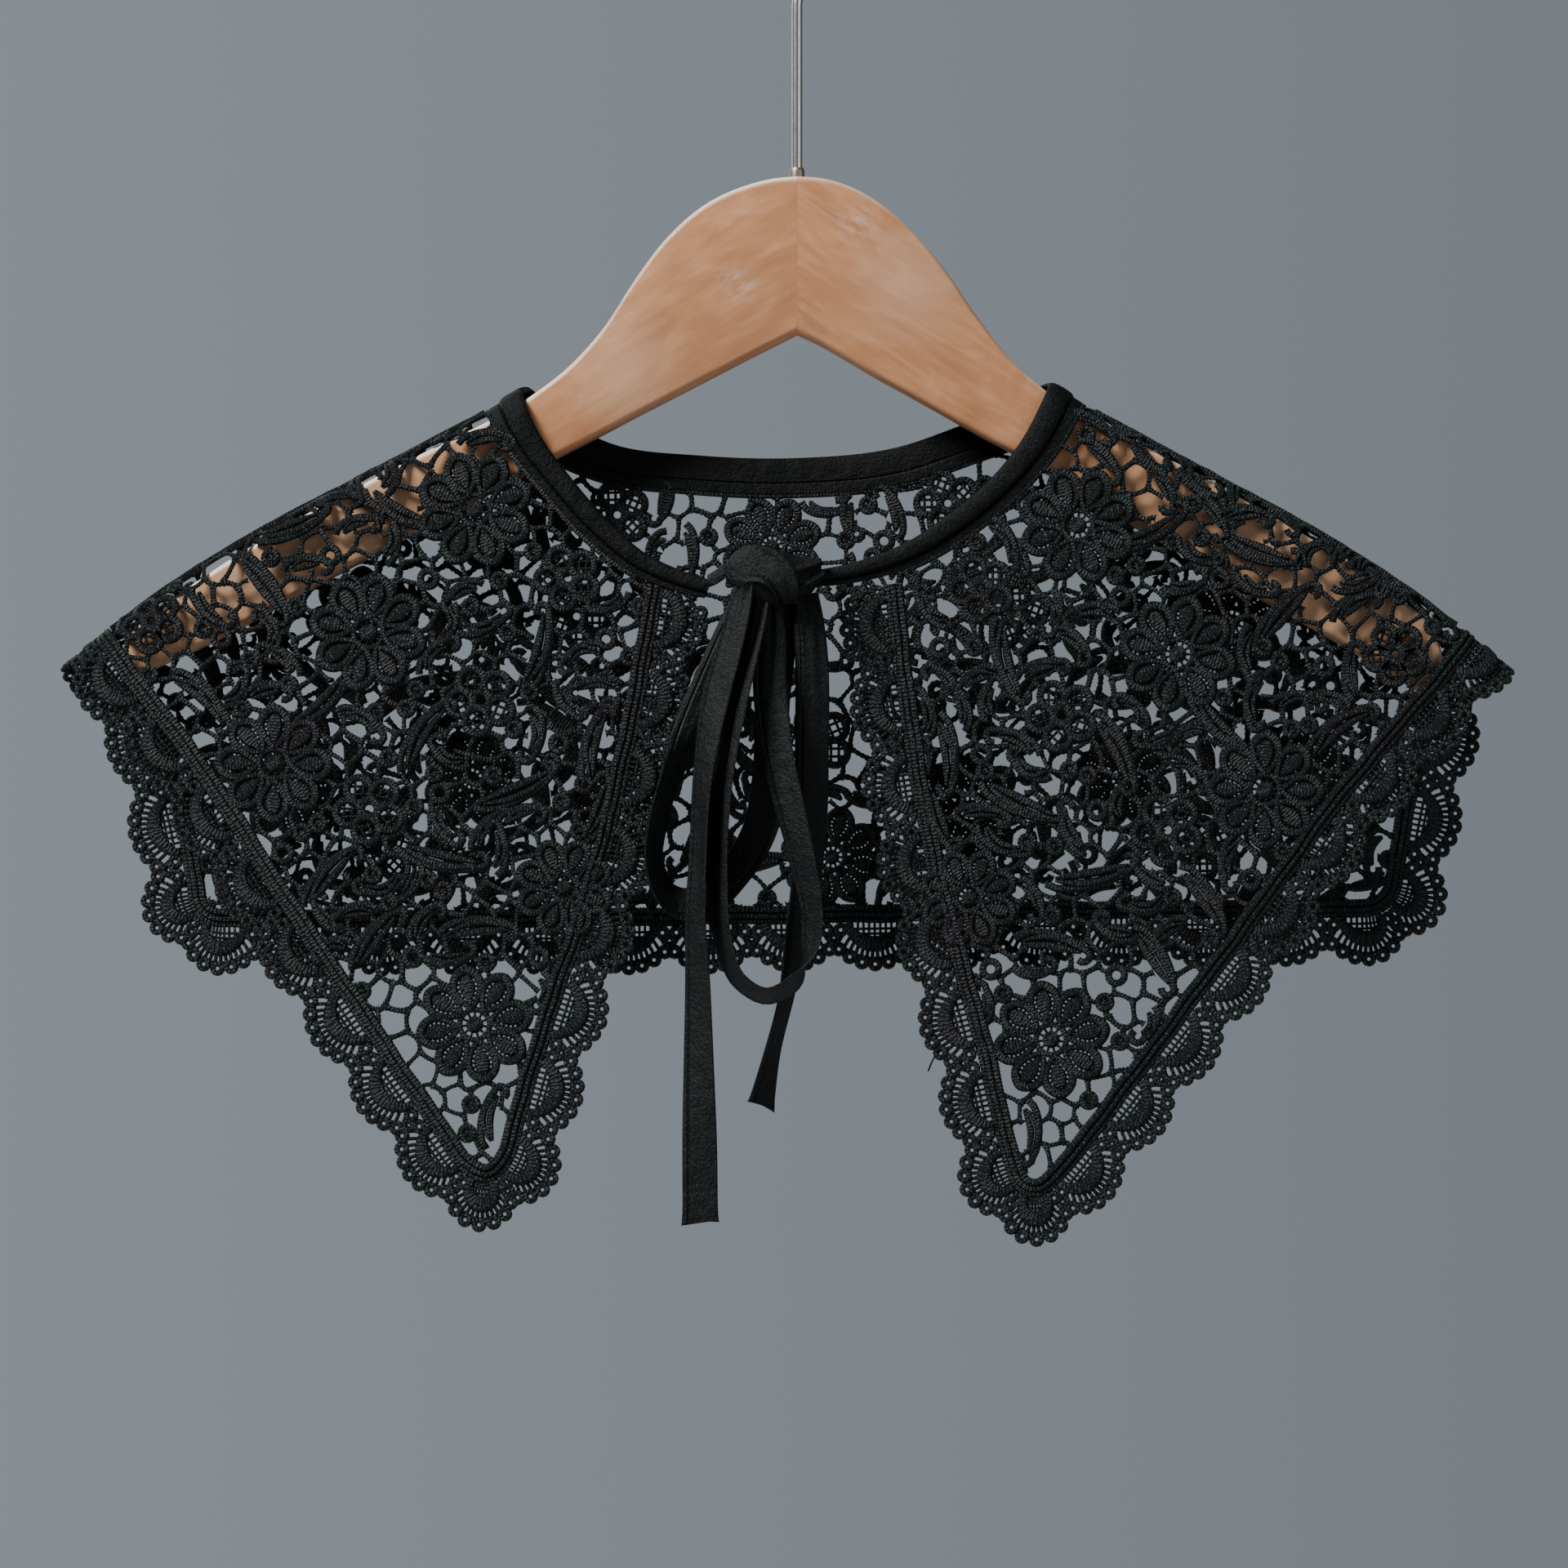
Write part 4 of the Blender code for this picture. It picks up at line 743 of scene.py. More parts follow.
# Shader maths: a Wire is one socket, and an expression on Wires adds its Math nodes
class Wire:
    def __init__(self, finish, socket):
        self.finish = finish
        self.socket = socket

    def combine(self, operation, other, turned=False):
        pair = (other, self) if turned else (self, other)
        return self.finish.node("ShaderNodeMath", dict(operation=operation), {0: pair[0], 1: pair[1]})

    def __add__(self, other):
        return self.combine("ADD", other)

    __radd__ = __add__

    def __mul__(self, other):
        return self.combine("MULTIPLY", other)

    __rmul__ = __mul__

    def __sub__(self, other):
        return self.combine("SUBTRACT", other)

    def __rsub__(self, other):
        return self.combine("SUBTRACT", other, True)

    def at(self, operation):
        return self.finish.node("ShaderNodeMath", dict(operation=operation), {0: self})

    def cap(self):
        return self.combine("MAXIMUM", 0.0).combine("MINIMUM", 1.0)


class Finish:
    def __init__(self, name, **fixed):
        self.material = bpy.data.materials.new(name)
        self.material.use_nodes = True
        self.tree = self.material.node_tree
        self.shader = self.tree.nodes["Principled BSDF"]
        for socket, value in fixed.items():
            self.shader.inputs[socket.replace("_", " ")].default_value = value

    def node(self, kind, settings=None, sockets=None, output=0):
        made = self.tree.nodes.new(kind)
        for key, value in (settings or {}).items():
            if key == "stops":
                ramp = made.color_ramp
                for place, stop in enumerate(value):
                    element = ramp.elements[place] if place < 2 else ramp.elements.new(stop[0])
                    element.position = stop[0]
                    element.color = (*stop[1], 1.0)
            else:
                setattr(made, key, value)
        for key, value in (sockets or {}).items():
            self.put(made.inputs[key], value)
        return Wire(self, made.outputs[output])

    def put(self, socket, value):
        if isinstance(value, Wire):
            self.tree.links.new(value.socket, socket)
        else:
            socket.default_value = value

    def places(self, scale=None, turn=(0.0, 0.0, 0.0)):
        # the piece's own coordinates, turned and then drawn out
        spot = self.node("ShaderNodeTexCoord", output=3)
        if scale is None:
            return spot
        turned = self.node("ShaderNodeMapping", {}, {"Vector": spot, "Rotation": turn})
        return self.node("ShaderNodeMapping", {}, {"Vector": turned, "Scale": scale})

    def stitch(self):
        return self.node("ShaderNodeUVMap", dict(uv_map="stitch"))

    def parts(self, vector):
        split = self.tree.nodes.new("ShaderNodeSeparateXYZ")
        self.put(split.inputs[0], vector)
        return [Wire(self, output) for output in split.outputs]

    def noise(self, vector, scale, detail=2.0, rough=0.5, bend=0.0):
        return self.node("ShaderNodeTexNoise", {}, {"Vector": vector, "Scale": scale, "Detail": detail,
                                                    "Roughness": rough, "Distortion": bend})

    def near(self, place, centre, reach):
        # 1 at the centre, 0 from the reach outwards
        away = self.node("ShaderNodeVectorMath", dict(operation="DISTANCE"), {0: place, 1: centre}, 1)
        return (1.0 - away * (1.0 / reach)).cap()

    def blend(self, share, first, second):
        made = self.tree.nodes.new("ShaderNodeMix")
        made.data_type = "RGBA"
        self.put(made.inputs["Factor"], share)
        self.put(made.inputs[6], first)
        self.put(made.inputs[7], second)
        return Wire(self, made.outputs[2])

    def bump(self, height, distance, strength=1.0):
        sockets = {"Height": height, "Distance": distance, "Strength": strength}
        self.feed("Normal", self.node("ShaderNodeBump", {}, sockets))

    def feed(self, socket, value):
        self.put(self.shader.inputs[socket], value)


def threadFinish(name, pitch):
    # stitches lie across the cord: a sine along it, broken up by fine noise; the colour is a painted
    # highlight on the stitches' ridges and painted shade in the dips
    # dark is the painted shade between the stitches; light and warm are the painted highlight on their ridges
    dark, light, warm = (0.0007, 0.0013, 0.0015, 1.0), (0.018, 0.033, 0.034, 1.0), (0.028, 0.030, 0.037, 1.0)
    finish = Finish(name, Roughness=0.5, Specular_IOR_Level=0.3)
    along, _, _ = finish.parts(finish.stitch())
    place = finish.places()
    fine = finish.noise(place, 2600.0, 1.0)
    coarse = finish.noise(place, 700.0, 2.0)
    thread = (along * (2 * math.pi / pitch) + coarse * 11.0).at("SINE") * 0.5 + 0.5
    height = thread * 0.75 + fine * 0.5
    ridgeHighlight = finish.blend((finish.noise(place, 24.0, 1.0) * 5.0 - 2.1).cap(), light, warm)
    # painted shade where the stitches dip, painted highlight where they rise
    finish.feed("Base Color", finish.blend((height * 1.8 - 0.82).cap(), dark, ridgeHighlight))
    finish.bump(height, 0.0016, 1.0)
    return finish.material


def tapeFinish(name, dark, light, gloss, seamAt):
    # crepe: fine uneven grain and soft puckers, with one line of stitches beside an edge
    finish = Finish(name, Roughness=0.56, Specular_IOR_Level=gloss)
    along, across, _ = finish.parts(finish.stitch())
    grain = finish.noise(finish.places(), 950.0, 3.0, 0.7)
    pucker = finish.noise(finish.places(), 150.0, 2.0)
    near = 1.0 - ((across - seamAt).at("ABSOLUTE") * 1.6).cap()
    dash = ((along * (2 * math.pi / 2.4)).at("SINE") * 3.0 + 1.4).cap()
    finish.feed("Base Color", finish.blend((grain * 4.4 - 1.9).cap(), (*dark, 1.0), (*light, 1.0)))
    finish.bump(grain * 0.9 + pucker * 1.4 + near * dash * 0.5 - near * 1.2, 0.0008, 1.0)
    return finish.material


def woodFinish(name, slope, scuff, fleck, pale, bevelHighlight):
    # grain: noise drawn out along the arm, over broad warm patches that are duller at the ends under the
    # cloth, a painted shade tint, with pores, brown streaks, a brown fleck, a pale area, a scuff and a
    # painted highlight along the upper bevel
    finish = Finish(name, Coat_Weight=0.1)
    place = finish.places()
    turn = (0.0, slope, 0.0)
    grain = finish.noise(finish.places((12.0, 60.0, 110.0), turn), 3.0, 5.0, 0.6, 1.0)
    pores = finish.noise(finish.places((90.0, 400.0, 1200.0), turn), 3.0, 2.0)
    broad = finish.noise(finish.places((1.0, 1.0, 1.9), turn), 26.0, 3.0, 0.5, 2.2)
    streak = finish.noise(finish.places((22.0, 60.0, 110.0), turn), 2.2, 3.0)
    scratch = finish.noise(finish.places((0.4, 1.0, 1.2), turn), 420.0, 4.0, 0.65)
    out, _, _ = finish.parts(place)
    _, _, upward = finish.parts(finish.node("ShaderNodeNewGeometry", output=1))
    colour = finish.node("ShaderNodeValToRGB", dict(stops=[
        (0.33, (0.432, 0.188, 0.079)), (0.5, (0.522, 0.231, 0.101)), (0.68, (0.622, 0.309, 0.153))]),
        {0: grain * 0.4 + broad * 0.6})
    marks = [
        # where, how much, colour
        ((pores - 0.6) * 4.0, 0.3, (0.30, 0.135, 0.06)),
        ((streak - 0.66) * 10.0, 0.4, (0.32, 0.15, 0.075)),
        (finish.near(place, fleck, 0.010) * (streak - 0.40) * 12.0, 0.4, (0.30, 0.14, 0.07)),
        (finish.near(place, pale, 0.024), 0.4, (0.73, 0.49, 0.34)),
        (finish.near(place, scuff, 0.009) * (scratch - 0.42) * 6.0, 0.26, (0.86, 0.76, 0.68)),
        # painted shade: duller, less saturated colour where the cloth covers the arm, as the wood looks in
        # the lace's shade
        ((out.at("ABSOLUTE") - 0.085) * 18.0, 0.5, (0.50, 0.34, 0.215)),
        # painted highlight: faces that turn upwards are paler, as where the lamp at the upper left lights the
        # bevel
        ((upward - 0.3) * 1.8, bevelHighlight, (0.95, 0.84, 0.70))]
    for where, share, paint in marks:
        colour = finish.blend(where.cap() * share, colour, (*paint, 1.0))
    finish.feed("Base Color", colour)
    finish.feed("Roughness", grain * 0.2 + 0.4)
    finish.bump(grain * 0.5 + pores * 0.3, 0.00016, 0.5)
    return finish.material


def steelFinish(name, colour, dull, rough):
    # metal with dull marks of drawn-out noise
    finish = Finish(name, Metallic=1.0)
    mark = finish.noise(finish.places((400.0, 400.0, 60.0)), 4.0, 3.0)
    finish.feed("Base Color", finish.blend((mark * 1.6 - 0.4).cap(), (*colour, 1.0), (*dull, 1.0)))
    finish.feed("Roughness", mark * 0.18 + rough)
    return finish.material


laceThread = threadFinish("laceThread", 1.1)
edgingThread = threadFinish("edgingThread", 1.3)
bindingTape = tapeFinish("bindingTape", (0.0006, 0.0010, 0.0011), (0.0030, 0.0042, 0.0046), 0.16, 9.0)
tieRibbon = tapeFinish("tieRibbon", (0.0008, 0.0013, 0.0015), (0.0060, 0.0086, 0.0100), 0.24, 2.2)
# the last number is the strength of the painted highlight on the upper bevel, higher on the left arm, which
# faces the lamp
woodLeft = woodFinish("warmWoodLeft", math.radians(32.0), (-0.020, -0.006, -0.147), (-0.049, -0.006, -0.162),
                      (-0.058, -0.006, -0.178), 0.9)
woodRight = woodFinish("warmWoodRight", math.radians(-32.0), (0.021, -0.006, -0.127), (0.004, -0.006, -0.158),
                       (0.038, -0.006, -0.147), 0.4)
wireSteel = steelFinish("wireSteel", (0.80, 0.78, 0.74), (0.54, 0.50, 0.45), 0.2)
agedSteel = steelFinish("agedSteel", (0.46, 0.42, 0.36), (0.20, 0.13, 0.085), 0.36)
print("finishes made")


def dressCloth(words, face, cloth, flowers, trim, neck):
    # lace, flowers, edging and binding of one cloth
    name, node, last = "".join(words), "_".join(words).lower(), words[-1]
    pieces = [
        stitchedPiece("lace" + name, cloth, face, laceThread, "lace_" + node),
        stitchedPiece("flowers" + name, flowers, face, laceThread, "lace_" + node),
        stitchedPiece("edging" + name, trim, face, edgingThread, "edging_" + node),
        bindingPiece("neckBinding" + last, neck, face, bindingTape, "neck_binding_" + last.lower())]


def frontCloth(side):
    # one pointed front: its outline runs down the cord, over the shoulder and along the neck
    route = hangFlat(roundedRoute(frontCord, collar["tipRounding"]), side)
    rim = sideways(route, side * (edging["cordHalf"] - 0.6))[::2]
    neck = frontNeckEdges(side)
    laceNeck = pastSeam(neck)
    beyond = laceNeck[(laceNeck[:, 0] - rim[0, 0]) * side > 2.0]
    outline, top = upToFold(rim, beyond, side)
    motifs = fillLeaves(frontMotifsOn(side), outline)
    flowers, leaves, sprigs = motifShapes(motifs, (-1, 1))
    bars, knots = brideShapes(outline, motifs, lace["frontPitch"], lace["frontStep"])
    shapes = leaves + sprigs + bars + knots + [cordShapes([beyond], 1.9, 1.2), topCord([top])]
    if side > 0:
        shapes.append(cordShapes([smoothCurve(strayThread, 12)], 0.6, 0.6, around=4))
    gate = hangFlat(np.array(frontGate) + [0.0, neckDrop[side]], side)
    below = np.array([gate[0, 1] - gate[1, 1], gate[1, 0] - gate[0, 0]]) * side

    def allowed(points):
        return (belowFold(points, side) > foldTop) & ((points - gate[0]) @ below > 0)

    dressCloth(["Front", sideName[side]], -1, shapes, flowers, edgingShapes(route, -side, allowed), neck)


def backCloth():
    # the back: its outline runs round the hem's cord, over both shoulders and along the neck
    route = roundedRoute(backCord, collar["cornerRounding"])
    rim = sideways(route, edging["cordHalf"] - 0.6)[::2]
    neck = backNeckEdges()
    laceNeck = pastSeam(neck)
    right, topRight = upToFold(rim[rim[:, 0] > 0], laceNeck[:0:-1], 1)
    left, topLeft = upToFold(rim[rim[:, 0] <= 0][::-1], laceNeck[:1], -1)
    outline = np.vstack([right, left[::-1]])
    motifs = backMiddle + [(side * x, z, radius, length, side * turn)
                           for side in (-1, 1) for x, z, radius, length, turn in backPairs]
    motifs = fillLeaves(motifs, outline)
    flowers, leaves, sprigs = motifShapes(motifs, (0,))
    bars, knots = brideShapes(outline, motifs, lace["backPitch"], lace["backStep"])
    shapes = leaves + sprigs + bars + [cordShapes([laceNeck], 1.9, 1.2), topCord([topRight, topLeft])]

    def allowed(points):
        return ((belowFold(points, 1) > foldTop) | (points[:, 0] < 0)) & (
            (belowFold(points, -1) > foldTop) | (points[:, 0] > 0))

    dressCloth(["Back"], 1, shapes, flowers + knots, edgingShapes(route, -1, allowed), neck)


# Tie stretches: middle of the ribbon and the direction of its width, from the knot onwards
longTail = [
    # x, y, z, width x, width y, width z
    (-18.6, -20.4, -253.2, 0.86, -0.50, 0.0), (-21.4, -21.4, -266.0, 0.80, -0.60, 0.0),
    (-27.4, -22.2, -288.0, 0.81, -0.59, 0.0), (-31.8, -23.0, -314.0, 0.55, -0.83, 0.0),
    (-33.5, -23.0, -340.0, 0.50, -0.87, 0.0), (-34.4, -23.0, -363.0, 0.57, -0.82, 0.0),
    (-33.8, -20.6, -383.0, 0.70, -0.71, 0.0), (-33.3, -18.4, -419.0, 0.90, -0.44, 0.0),
    (-33.0, -17.0, -450.0, 1.00, -0.05, 0.0), (-32.9, -16.6, -466.3, 1.00, 0.0, 0.0)]
frontLoop = [
    (-13.8, -18.6, -256.5, 0.97, -0.15, 0.0), (-17.0, -20.2, -272.0, 0.80, -0.60, 0.0),
    (-20.4, -21.6, -290.0, 0.62, -0.78, 0.0), (-26.0, -22.4, -322.5, 0.60, -0.80, 0.0),
    (-27.2, -22.6, -350.0, 0.60, -0.80, 0.05), (-25.0, -22.8, -371.0, 0.45, -0.85, 0.25),
    (-19.5, -23.0, -384.5, 0.25, -0.88, 0.42), (-10.5, -23.0, -389.5, 0.0, -0.87, 0.50),
    (-1.2, -22.8, -385.0, -0.25, -0.88, 0.40), (4.0, -22.4, -374.0, 0.45, -0.85, 0.20),
    (4.9, -22.2, -362.0, 0.60, -0.80, 0.0), (2.2, -22.2, -346.0, 0.70, -0.71, 0.0),
    (-2.5, -21.6, -326.0, 0.83, -0.55, 0.0), (-7.0, -20.2, -306.0, 0.90, -0.42, 0.0),
    (-9.3, -18.6, -284.0, 0.98, -0.18, 0.0), (-9.4, -17.2, -268.0, 1.00, -0.05, 0.0),
    (-9.6, -16.4, -257.0, 1.00, 0.0, 0.0)]
backLoop = [
    (-17.6, -12.4, -255.4, 0.99, 0.05, 0.0), (-27.5, -13.6, -278.5, 0.97, 0.10, 0.1),
    (-35.0, -14.8, -296.0, 0.92, 0.26, 0.2), (-42.5, -17.2, -314.0, 0.62, 0.76, 0.1),
    (-47.6, -17.8, -333.0, 0.50, 0.86, 0.0), (-48.6, -18.0, -344.5, 0.45, 0.88, 0.0),
    (-45.8, -17.0, -353.5, 0.35, 0.75, 0.45), (-39.5, -14.6, -358.5, 0.10, 0.40, 0.90),
    (-31.0, -13.8, -357.0, -0.35, 0.30, 0.88), (-21.5, -13.6, -348.0, -0.62, 0.28, 0.72),
    (-13.0, -13.8, -334.0, -0.80, 0.16, 0.52), (-9.4, -13.8, -316.0, -0.96, 0.0, 0.15),
    (-8.4, -13.4, -290.0, -0.98, -0.10, 0.0), (-5.6, -12.4, -268.0, -0.98, -0.15, 0.0),
    (-4.6, -12.2, -256.9, -1.00, -0.05, 0.0)]
shortTail = [
    (3.4, -14.6, -256.6, 0.98, 0.18, 0.0), (4.9, -13.6, -275.0, 0.98, 0.20, 0.0),
    (5.0, -12.8, -305.0, 0.96, 0.26, 0.0), (4.6, -12.4, -330.0, 0.92, 0.36, 0.0),
    (2.8, -12.0, -352.0, 0.82, 0.54, 0.0), (-0.4, -11.4, -370.0, 0.64, 0.76, 0.0),
    (-3.6, -11.2, -390.0, 0.44, 0.90, 0.0), (-8.7, -11.6, -410.0, 0.48, 0.86, 0.1),
    (-12.4, -12.4, -427.0, 0.72, 0.62, 0.25)]
tieFeed = [
    # x, y, z, half height, half depth
    (-30.6, -12.5, -249.0, 2.2, 1.2), (-27.6, -13.4, -247.6, 2.5, 1.6), (-24.6, -14.8, -245.4, 2.8, 1.8)]
knot = [
    (-24.2, -15.6, -246.0, 3.0, 2.8), (-21.5, -16.2, -245.4, 6.0, 4.8), (-17.0, -16.8, -245.6, 8.6, 6.2),
    (-11.0, -16.9, -246.6, 9.8, 6.5), (-5.0, -16.6, -247.6, 9.0, 6.2), (0.0, -15.8, -248.2, 7.4, 5.2),
    (4.6, -14.6, -247.2, 6.0, 3.6), (8.2, -13.2, -244.6, 3.6, 2.0)]
knotStrap = [
    # x, y, z, width x, width y, width z: the band that crosses the front of the knot
    (-24.0, -14.0, -248.0, 0.30, 0.0, 0.95), (-19.5, -18.6, -245.6, 0.25, 0.05, 0.97),
    (-14.5, -22.4, -243.6, 0.40, 0.0, 0.92), (-9.5, -24.2, -244.8, 0.72, 0.0, 0.70),
    (-5.6, -24.4, -248.6, 0.92, 0.0, 0.38), (-3.6, -22.8, -253.0, 0.99, 0.0, 0.12),
    (-3.2, -19.6, -256.6, 1.0, 0.0, 0.0)]
knotWing = [
    (-6.0, -20.0, -246.5, 0.1, 0.0, 1.0), (-0.5, -20.6, -247.5, 0.0, 0.1, 1.0),
    (4.0, -18.4, -246.2, -0.15, 0.1, 1.0), (8.2, -15.6, -244.4, -0.3, 0.1, 0.95)]
tie = dict(width=12.0, wall=0.9, crease=0.6, creaseReach=24.0, pinch=0.34, pinchReach=11.0, intoKnot=3.5,
           cornerDrop=0.8)


def bandRings(rows, count, halfWidth, crease):
    # a flat section carried along a middle line; crease(share) lifts it off its plane
    along = smoothCurve(rows, count)
    middle, width = along[:, :3], along[:, 3:]
    heading = unit(np.gradient(middle, axis=0))
    width = unit(width - (width * heading).sum(axis=1)[:, None] * heading)
    depth = np.cross(heading, width)
    level = np.linspace(0.95, -0.95, 13)
    share = np.r_[1.0, level, -1.0, level[::-1]]
    wall = 0.5 * tie["wall"] * np.r_[0.0, np.ones(13), 0.0, -np.ones(13)] * (1.15 - 0.4 * share**4)
    out = wall + crease(share)
    across = halfWidth[:, None] * share
    rings = middle[:, None] + across[..., None] * width[:, None] + out[..., None] * depth[:, None]
    return rings, 0.5 * tie["width"] * np.r_[1 + share, 1 + share[0]]


def intoKnot(end, before):
    # how far an end runs on inside the knot
    return tie["intoKnot"] * unit(end[:3] - before[:3])


def ribbonPiece(name, rows, step, bothEnds, node, slant=0.0):
    # gathers that fade away from the knot, where the ribbon is pinched and runs on inside;
    # a free end is cut at a slant, with corners that hang lower
    rows = np.array(rows)
    rows[0, :3] += intoKnot(rows[0], rows[1])
    if bothEnds:
        rows[-1, :3] += intoKnot(rows[-1], rows[-2])
    length = np.linalg.norm(np.diff(smoothCurve(rows, 200)[:, :3], axis=0), axis=1).sum()
    count = round(length / step)
    travel = np.linspace(0.0, length, count)
    ahead = length - travel
    fade, pinch = np.exp(-travel / tie["creaseReach"]), np.exp(-travel / tie["pinchReach"])
    flare = 0.07 * np.exp(-ahead / 2.0)
    if bothEnds:
        fade = fade + np.exp(-ahead / tie["creaseReach"])
        pinch = pinch + np.exp(-ahead / tie["pinchReach"])
        flare = 0 * travel

    def crease(share):
        gathers = tie["crease"] * fade[:, None] * np.sin(2.6 * np.pi * share + 0.6)
        curl = (0.35 * np.sin(travel / 23.0) + 0.25 * np.sin(travel / 9.0 + 1.0))[:, None] * (1 - share**2)
        return gathers + curl + 0.2 * np.sin(travel / 17.0)[:, None] * np.cos(1.9 * share)

    half = 0.5 * tie["width"] * (1 - tie["pinch"] * np.minimum(pinch, 1.0) + flare)
    rings, across = bandRings(rows, count, half, crease)
    if not bothEnds:
        share = 2 * across[:-1] / tie["width"] - 1
        rings[-1, :, 2] += slant * share - tie["cornerDrop"] * share**6
    piece = loftPiece(name, [(rings, travel, across)], tieRibbon, node)


def bundleLoft(rows, count, around, fold):
    # squared rounds along X whose radius has sine folds that run on from end to end
    rows = smoothCurve(rows, count)
    angle = np.linspace(0.0, 2 * np.pi, around, endpoint=False)
    squared = 1.0 / (np.abs(np.cos(angle))**2.6 + np.abs(np.sin(angle))**2.6)**(1 / 2.6)
    x = rows[:, :1]
    ends = np.sin(np.pi * np.linspace(0.06, 0.94, count))[:, None]
    swell = 1 + fold * ends * (np.sin(3 * angle + 0.16 * x) + 0.6 * np.sin(5 * angle - 0.22 * x + 1.0))
    rings = np.empty((count, around, 3))
    rings[..., 0] = x
    rings[..., 1] = rows[:, 1:2] + rows[:, 4:5] * squared * swell * np.sin(angle)
    rings[..., 2] = rows[:, 2:3] + rows[:, 3:4] * squared * swell * np.cos(angle)
    return rings, rows[:, 0], np.linspace(0.0, 40.0, around + 1)


def knotPiece():
    # a folded core, a band that crosses its front, and a wing that stands out at the right
    strap = smoothCurve(knotStrap, 40)
    t = np.linspace(0.0, 1.0, 40)

    def strapCrease(share):
        dome = 1.1 * (1 - share**2) * np.sin(np.pi * np.clip(t * 1.1, 0.0, 1.0))[:, None]
        return -dome + 0.32 * np.sin(2.2 * np.pi * share + 3.0 * t[:, None])

    strapRings, across = bandRings(strap, 40, 3.6 + 2.6 * np.sin(np.pi * t**0.8), strapCrease)
    w = np.linspace(0.0, 1.0, 24)

    def wingCrease(share):
        return 0.9 * np.sin(1.6 * np.pi * share - 1.2 * w[:, None])

    wingRings, _ = bandRings(smoothCurve(knotWing, 24), 24, 5.6 - 2.4 * w, wingCrease)
    loftPiece("bowKnot", [bundleLoft(knot, 44, 40, 0.06), (strapRings, 25.0 * t, across),
                          (wingRings, 14.0 * w, across)], tieRibbon, "bow_knot")


# Hanger: arm edges out from the middle, then the underside where the cloth covers the top
arms = dict(halfDepth=6.0, bevel=2.5, endRound=9.0, underCloth=3.4, shankDepth=26.0)
armRows = {
    -1: [(0.15, 110.0, 163.8), (8.0, 110.7, 167.8), (16.5, 112.8, 172.1), (30.8, 119.2, 179.5),
         (45.1, 131.6, 186.9), (55.2, 145.0, 192.1), (66.4, 162.1, 198.0), (78.0, 175.0, 204.0)],
    1: [(0.15, 110.0, 163.8), (8.0, 110.5, 167.5), (16.5, 112.8, 172.4), (27.0, 118.2, 178.6),
        (41.0, 130.5, 186.3), (51.0, 142.6, 191.9), (61.0, 157.2, 197.6), (74.0, 173.6, 204.6)]}
undersideRows = {
    -1: [(92.0, 211.2), (129.2, 231.0), (166.7, 251.0), (200.8, 269.5), (222.0, 279.0)],
    1: [(88.0, 213.0), (118.2, 231.0), (149.2, 248.9), (192.1, 273.4), (212.0, 285.5)]}


def armPiece(side, material):
    # a rounded oblong section between the two edges, shrinking round at the shoulder's end
    rows, covered = np.array(armRows[side]), np.array(undersideRows[side])
    below = belowFold(covered * [side, -1], side) - arms["underCloth"]
    coveredTop = covered[:, 1] - below / abs(foldFrame(side)[3][1])
    out = np.r_[rows[:, 0], covered[:, 0]]
    top, bottom = np.r_[rows[:, 1], coveredTop], np.r_[rows[:, 2], covered[:, 1]]
    edges = smoothCurve(np.column_stack([out, top, bottom]), 70)
    edges[0, 0] = 0.02
    share = np.sin(np.linspace(0.1, 1.45, 9))
    fall = (edges[-1, 1:] - edges[-2, 1:]).mean() / (edges[-1, 0] - edges[-2, 0])
    last = edges[-1]
    half = 0.5 * (last[2] - last[1]) * np.sqrt(1 - share**2)
    middle = 0.5 * (last[1] + last[2]) + fall * arms["endRound"] * share
    rounded = np.column_stack([last[0] + arms["endRound"] * share, middle - half, middle + half])
    edges = np.vstack([edges, rounded])
    middle, half = 0.5 * (edges[:, 1] + edges[:, 2]), 0.5 * (edges[:, 2] - edges[:, 1])
    bevel = np.minimum(arms["bevel"], 0.45 * half)[:, None]
    corner = np.repeat([0, 1, 2, 3], 5)
    angle = np.radians(np.tile(np.linspace(0.0, 90.0, 5), 4) + 90.0 * corner)
    signX, signZ = np.array([1, -1, -1, 1])[corner], np.array([1, 1, -1, -1])[corner]
    y = signX * (arms["halfDepth"] - bevel) + bevel * np.cos(angle)
    z = -middle[:, None] + signZ * (half[:, None] - bevel) + bevel * np.sin(angle)
    rings = np.stack([np.broadcast_to(side * edges[:, :1], y.shape), y, z], axis=2)
    loft = (rings, edges[:, 0], np.linspace(0.0, 60.0, len(corner) + 1))
    loftPiece("hangerArm" + sideName[side], [loft], material, "hanger_arm_" + sideName[side].lower())


hookSizes = dict(wire=1.8, inner=20.0, join=math.radians(-70.0), end=math.radians(205.0), around=20, tip=1.1,
                 profile=[(1.85, 0.0), (2.55, 0.1), (2.55, 2.3), (2.4, 2.9), (2.2, 3.3), (1.85, 3.4)])


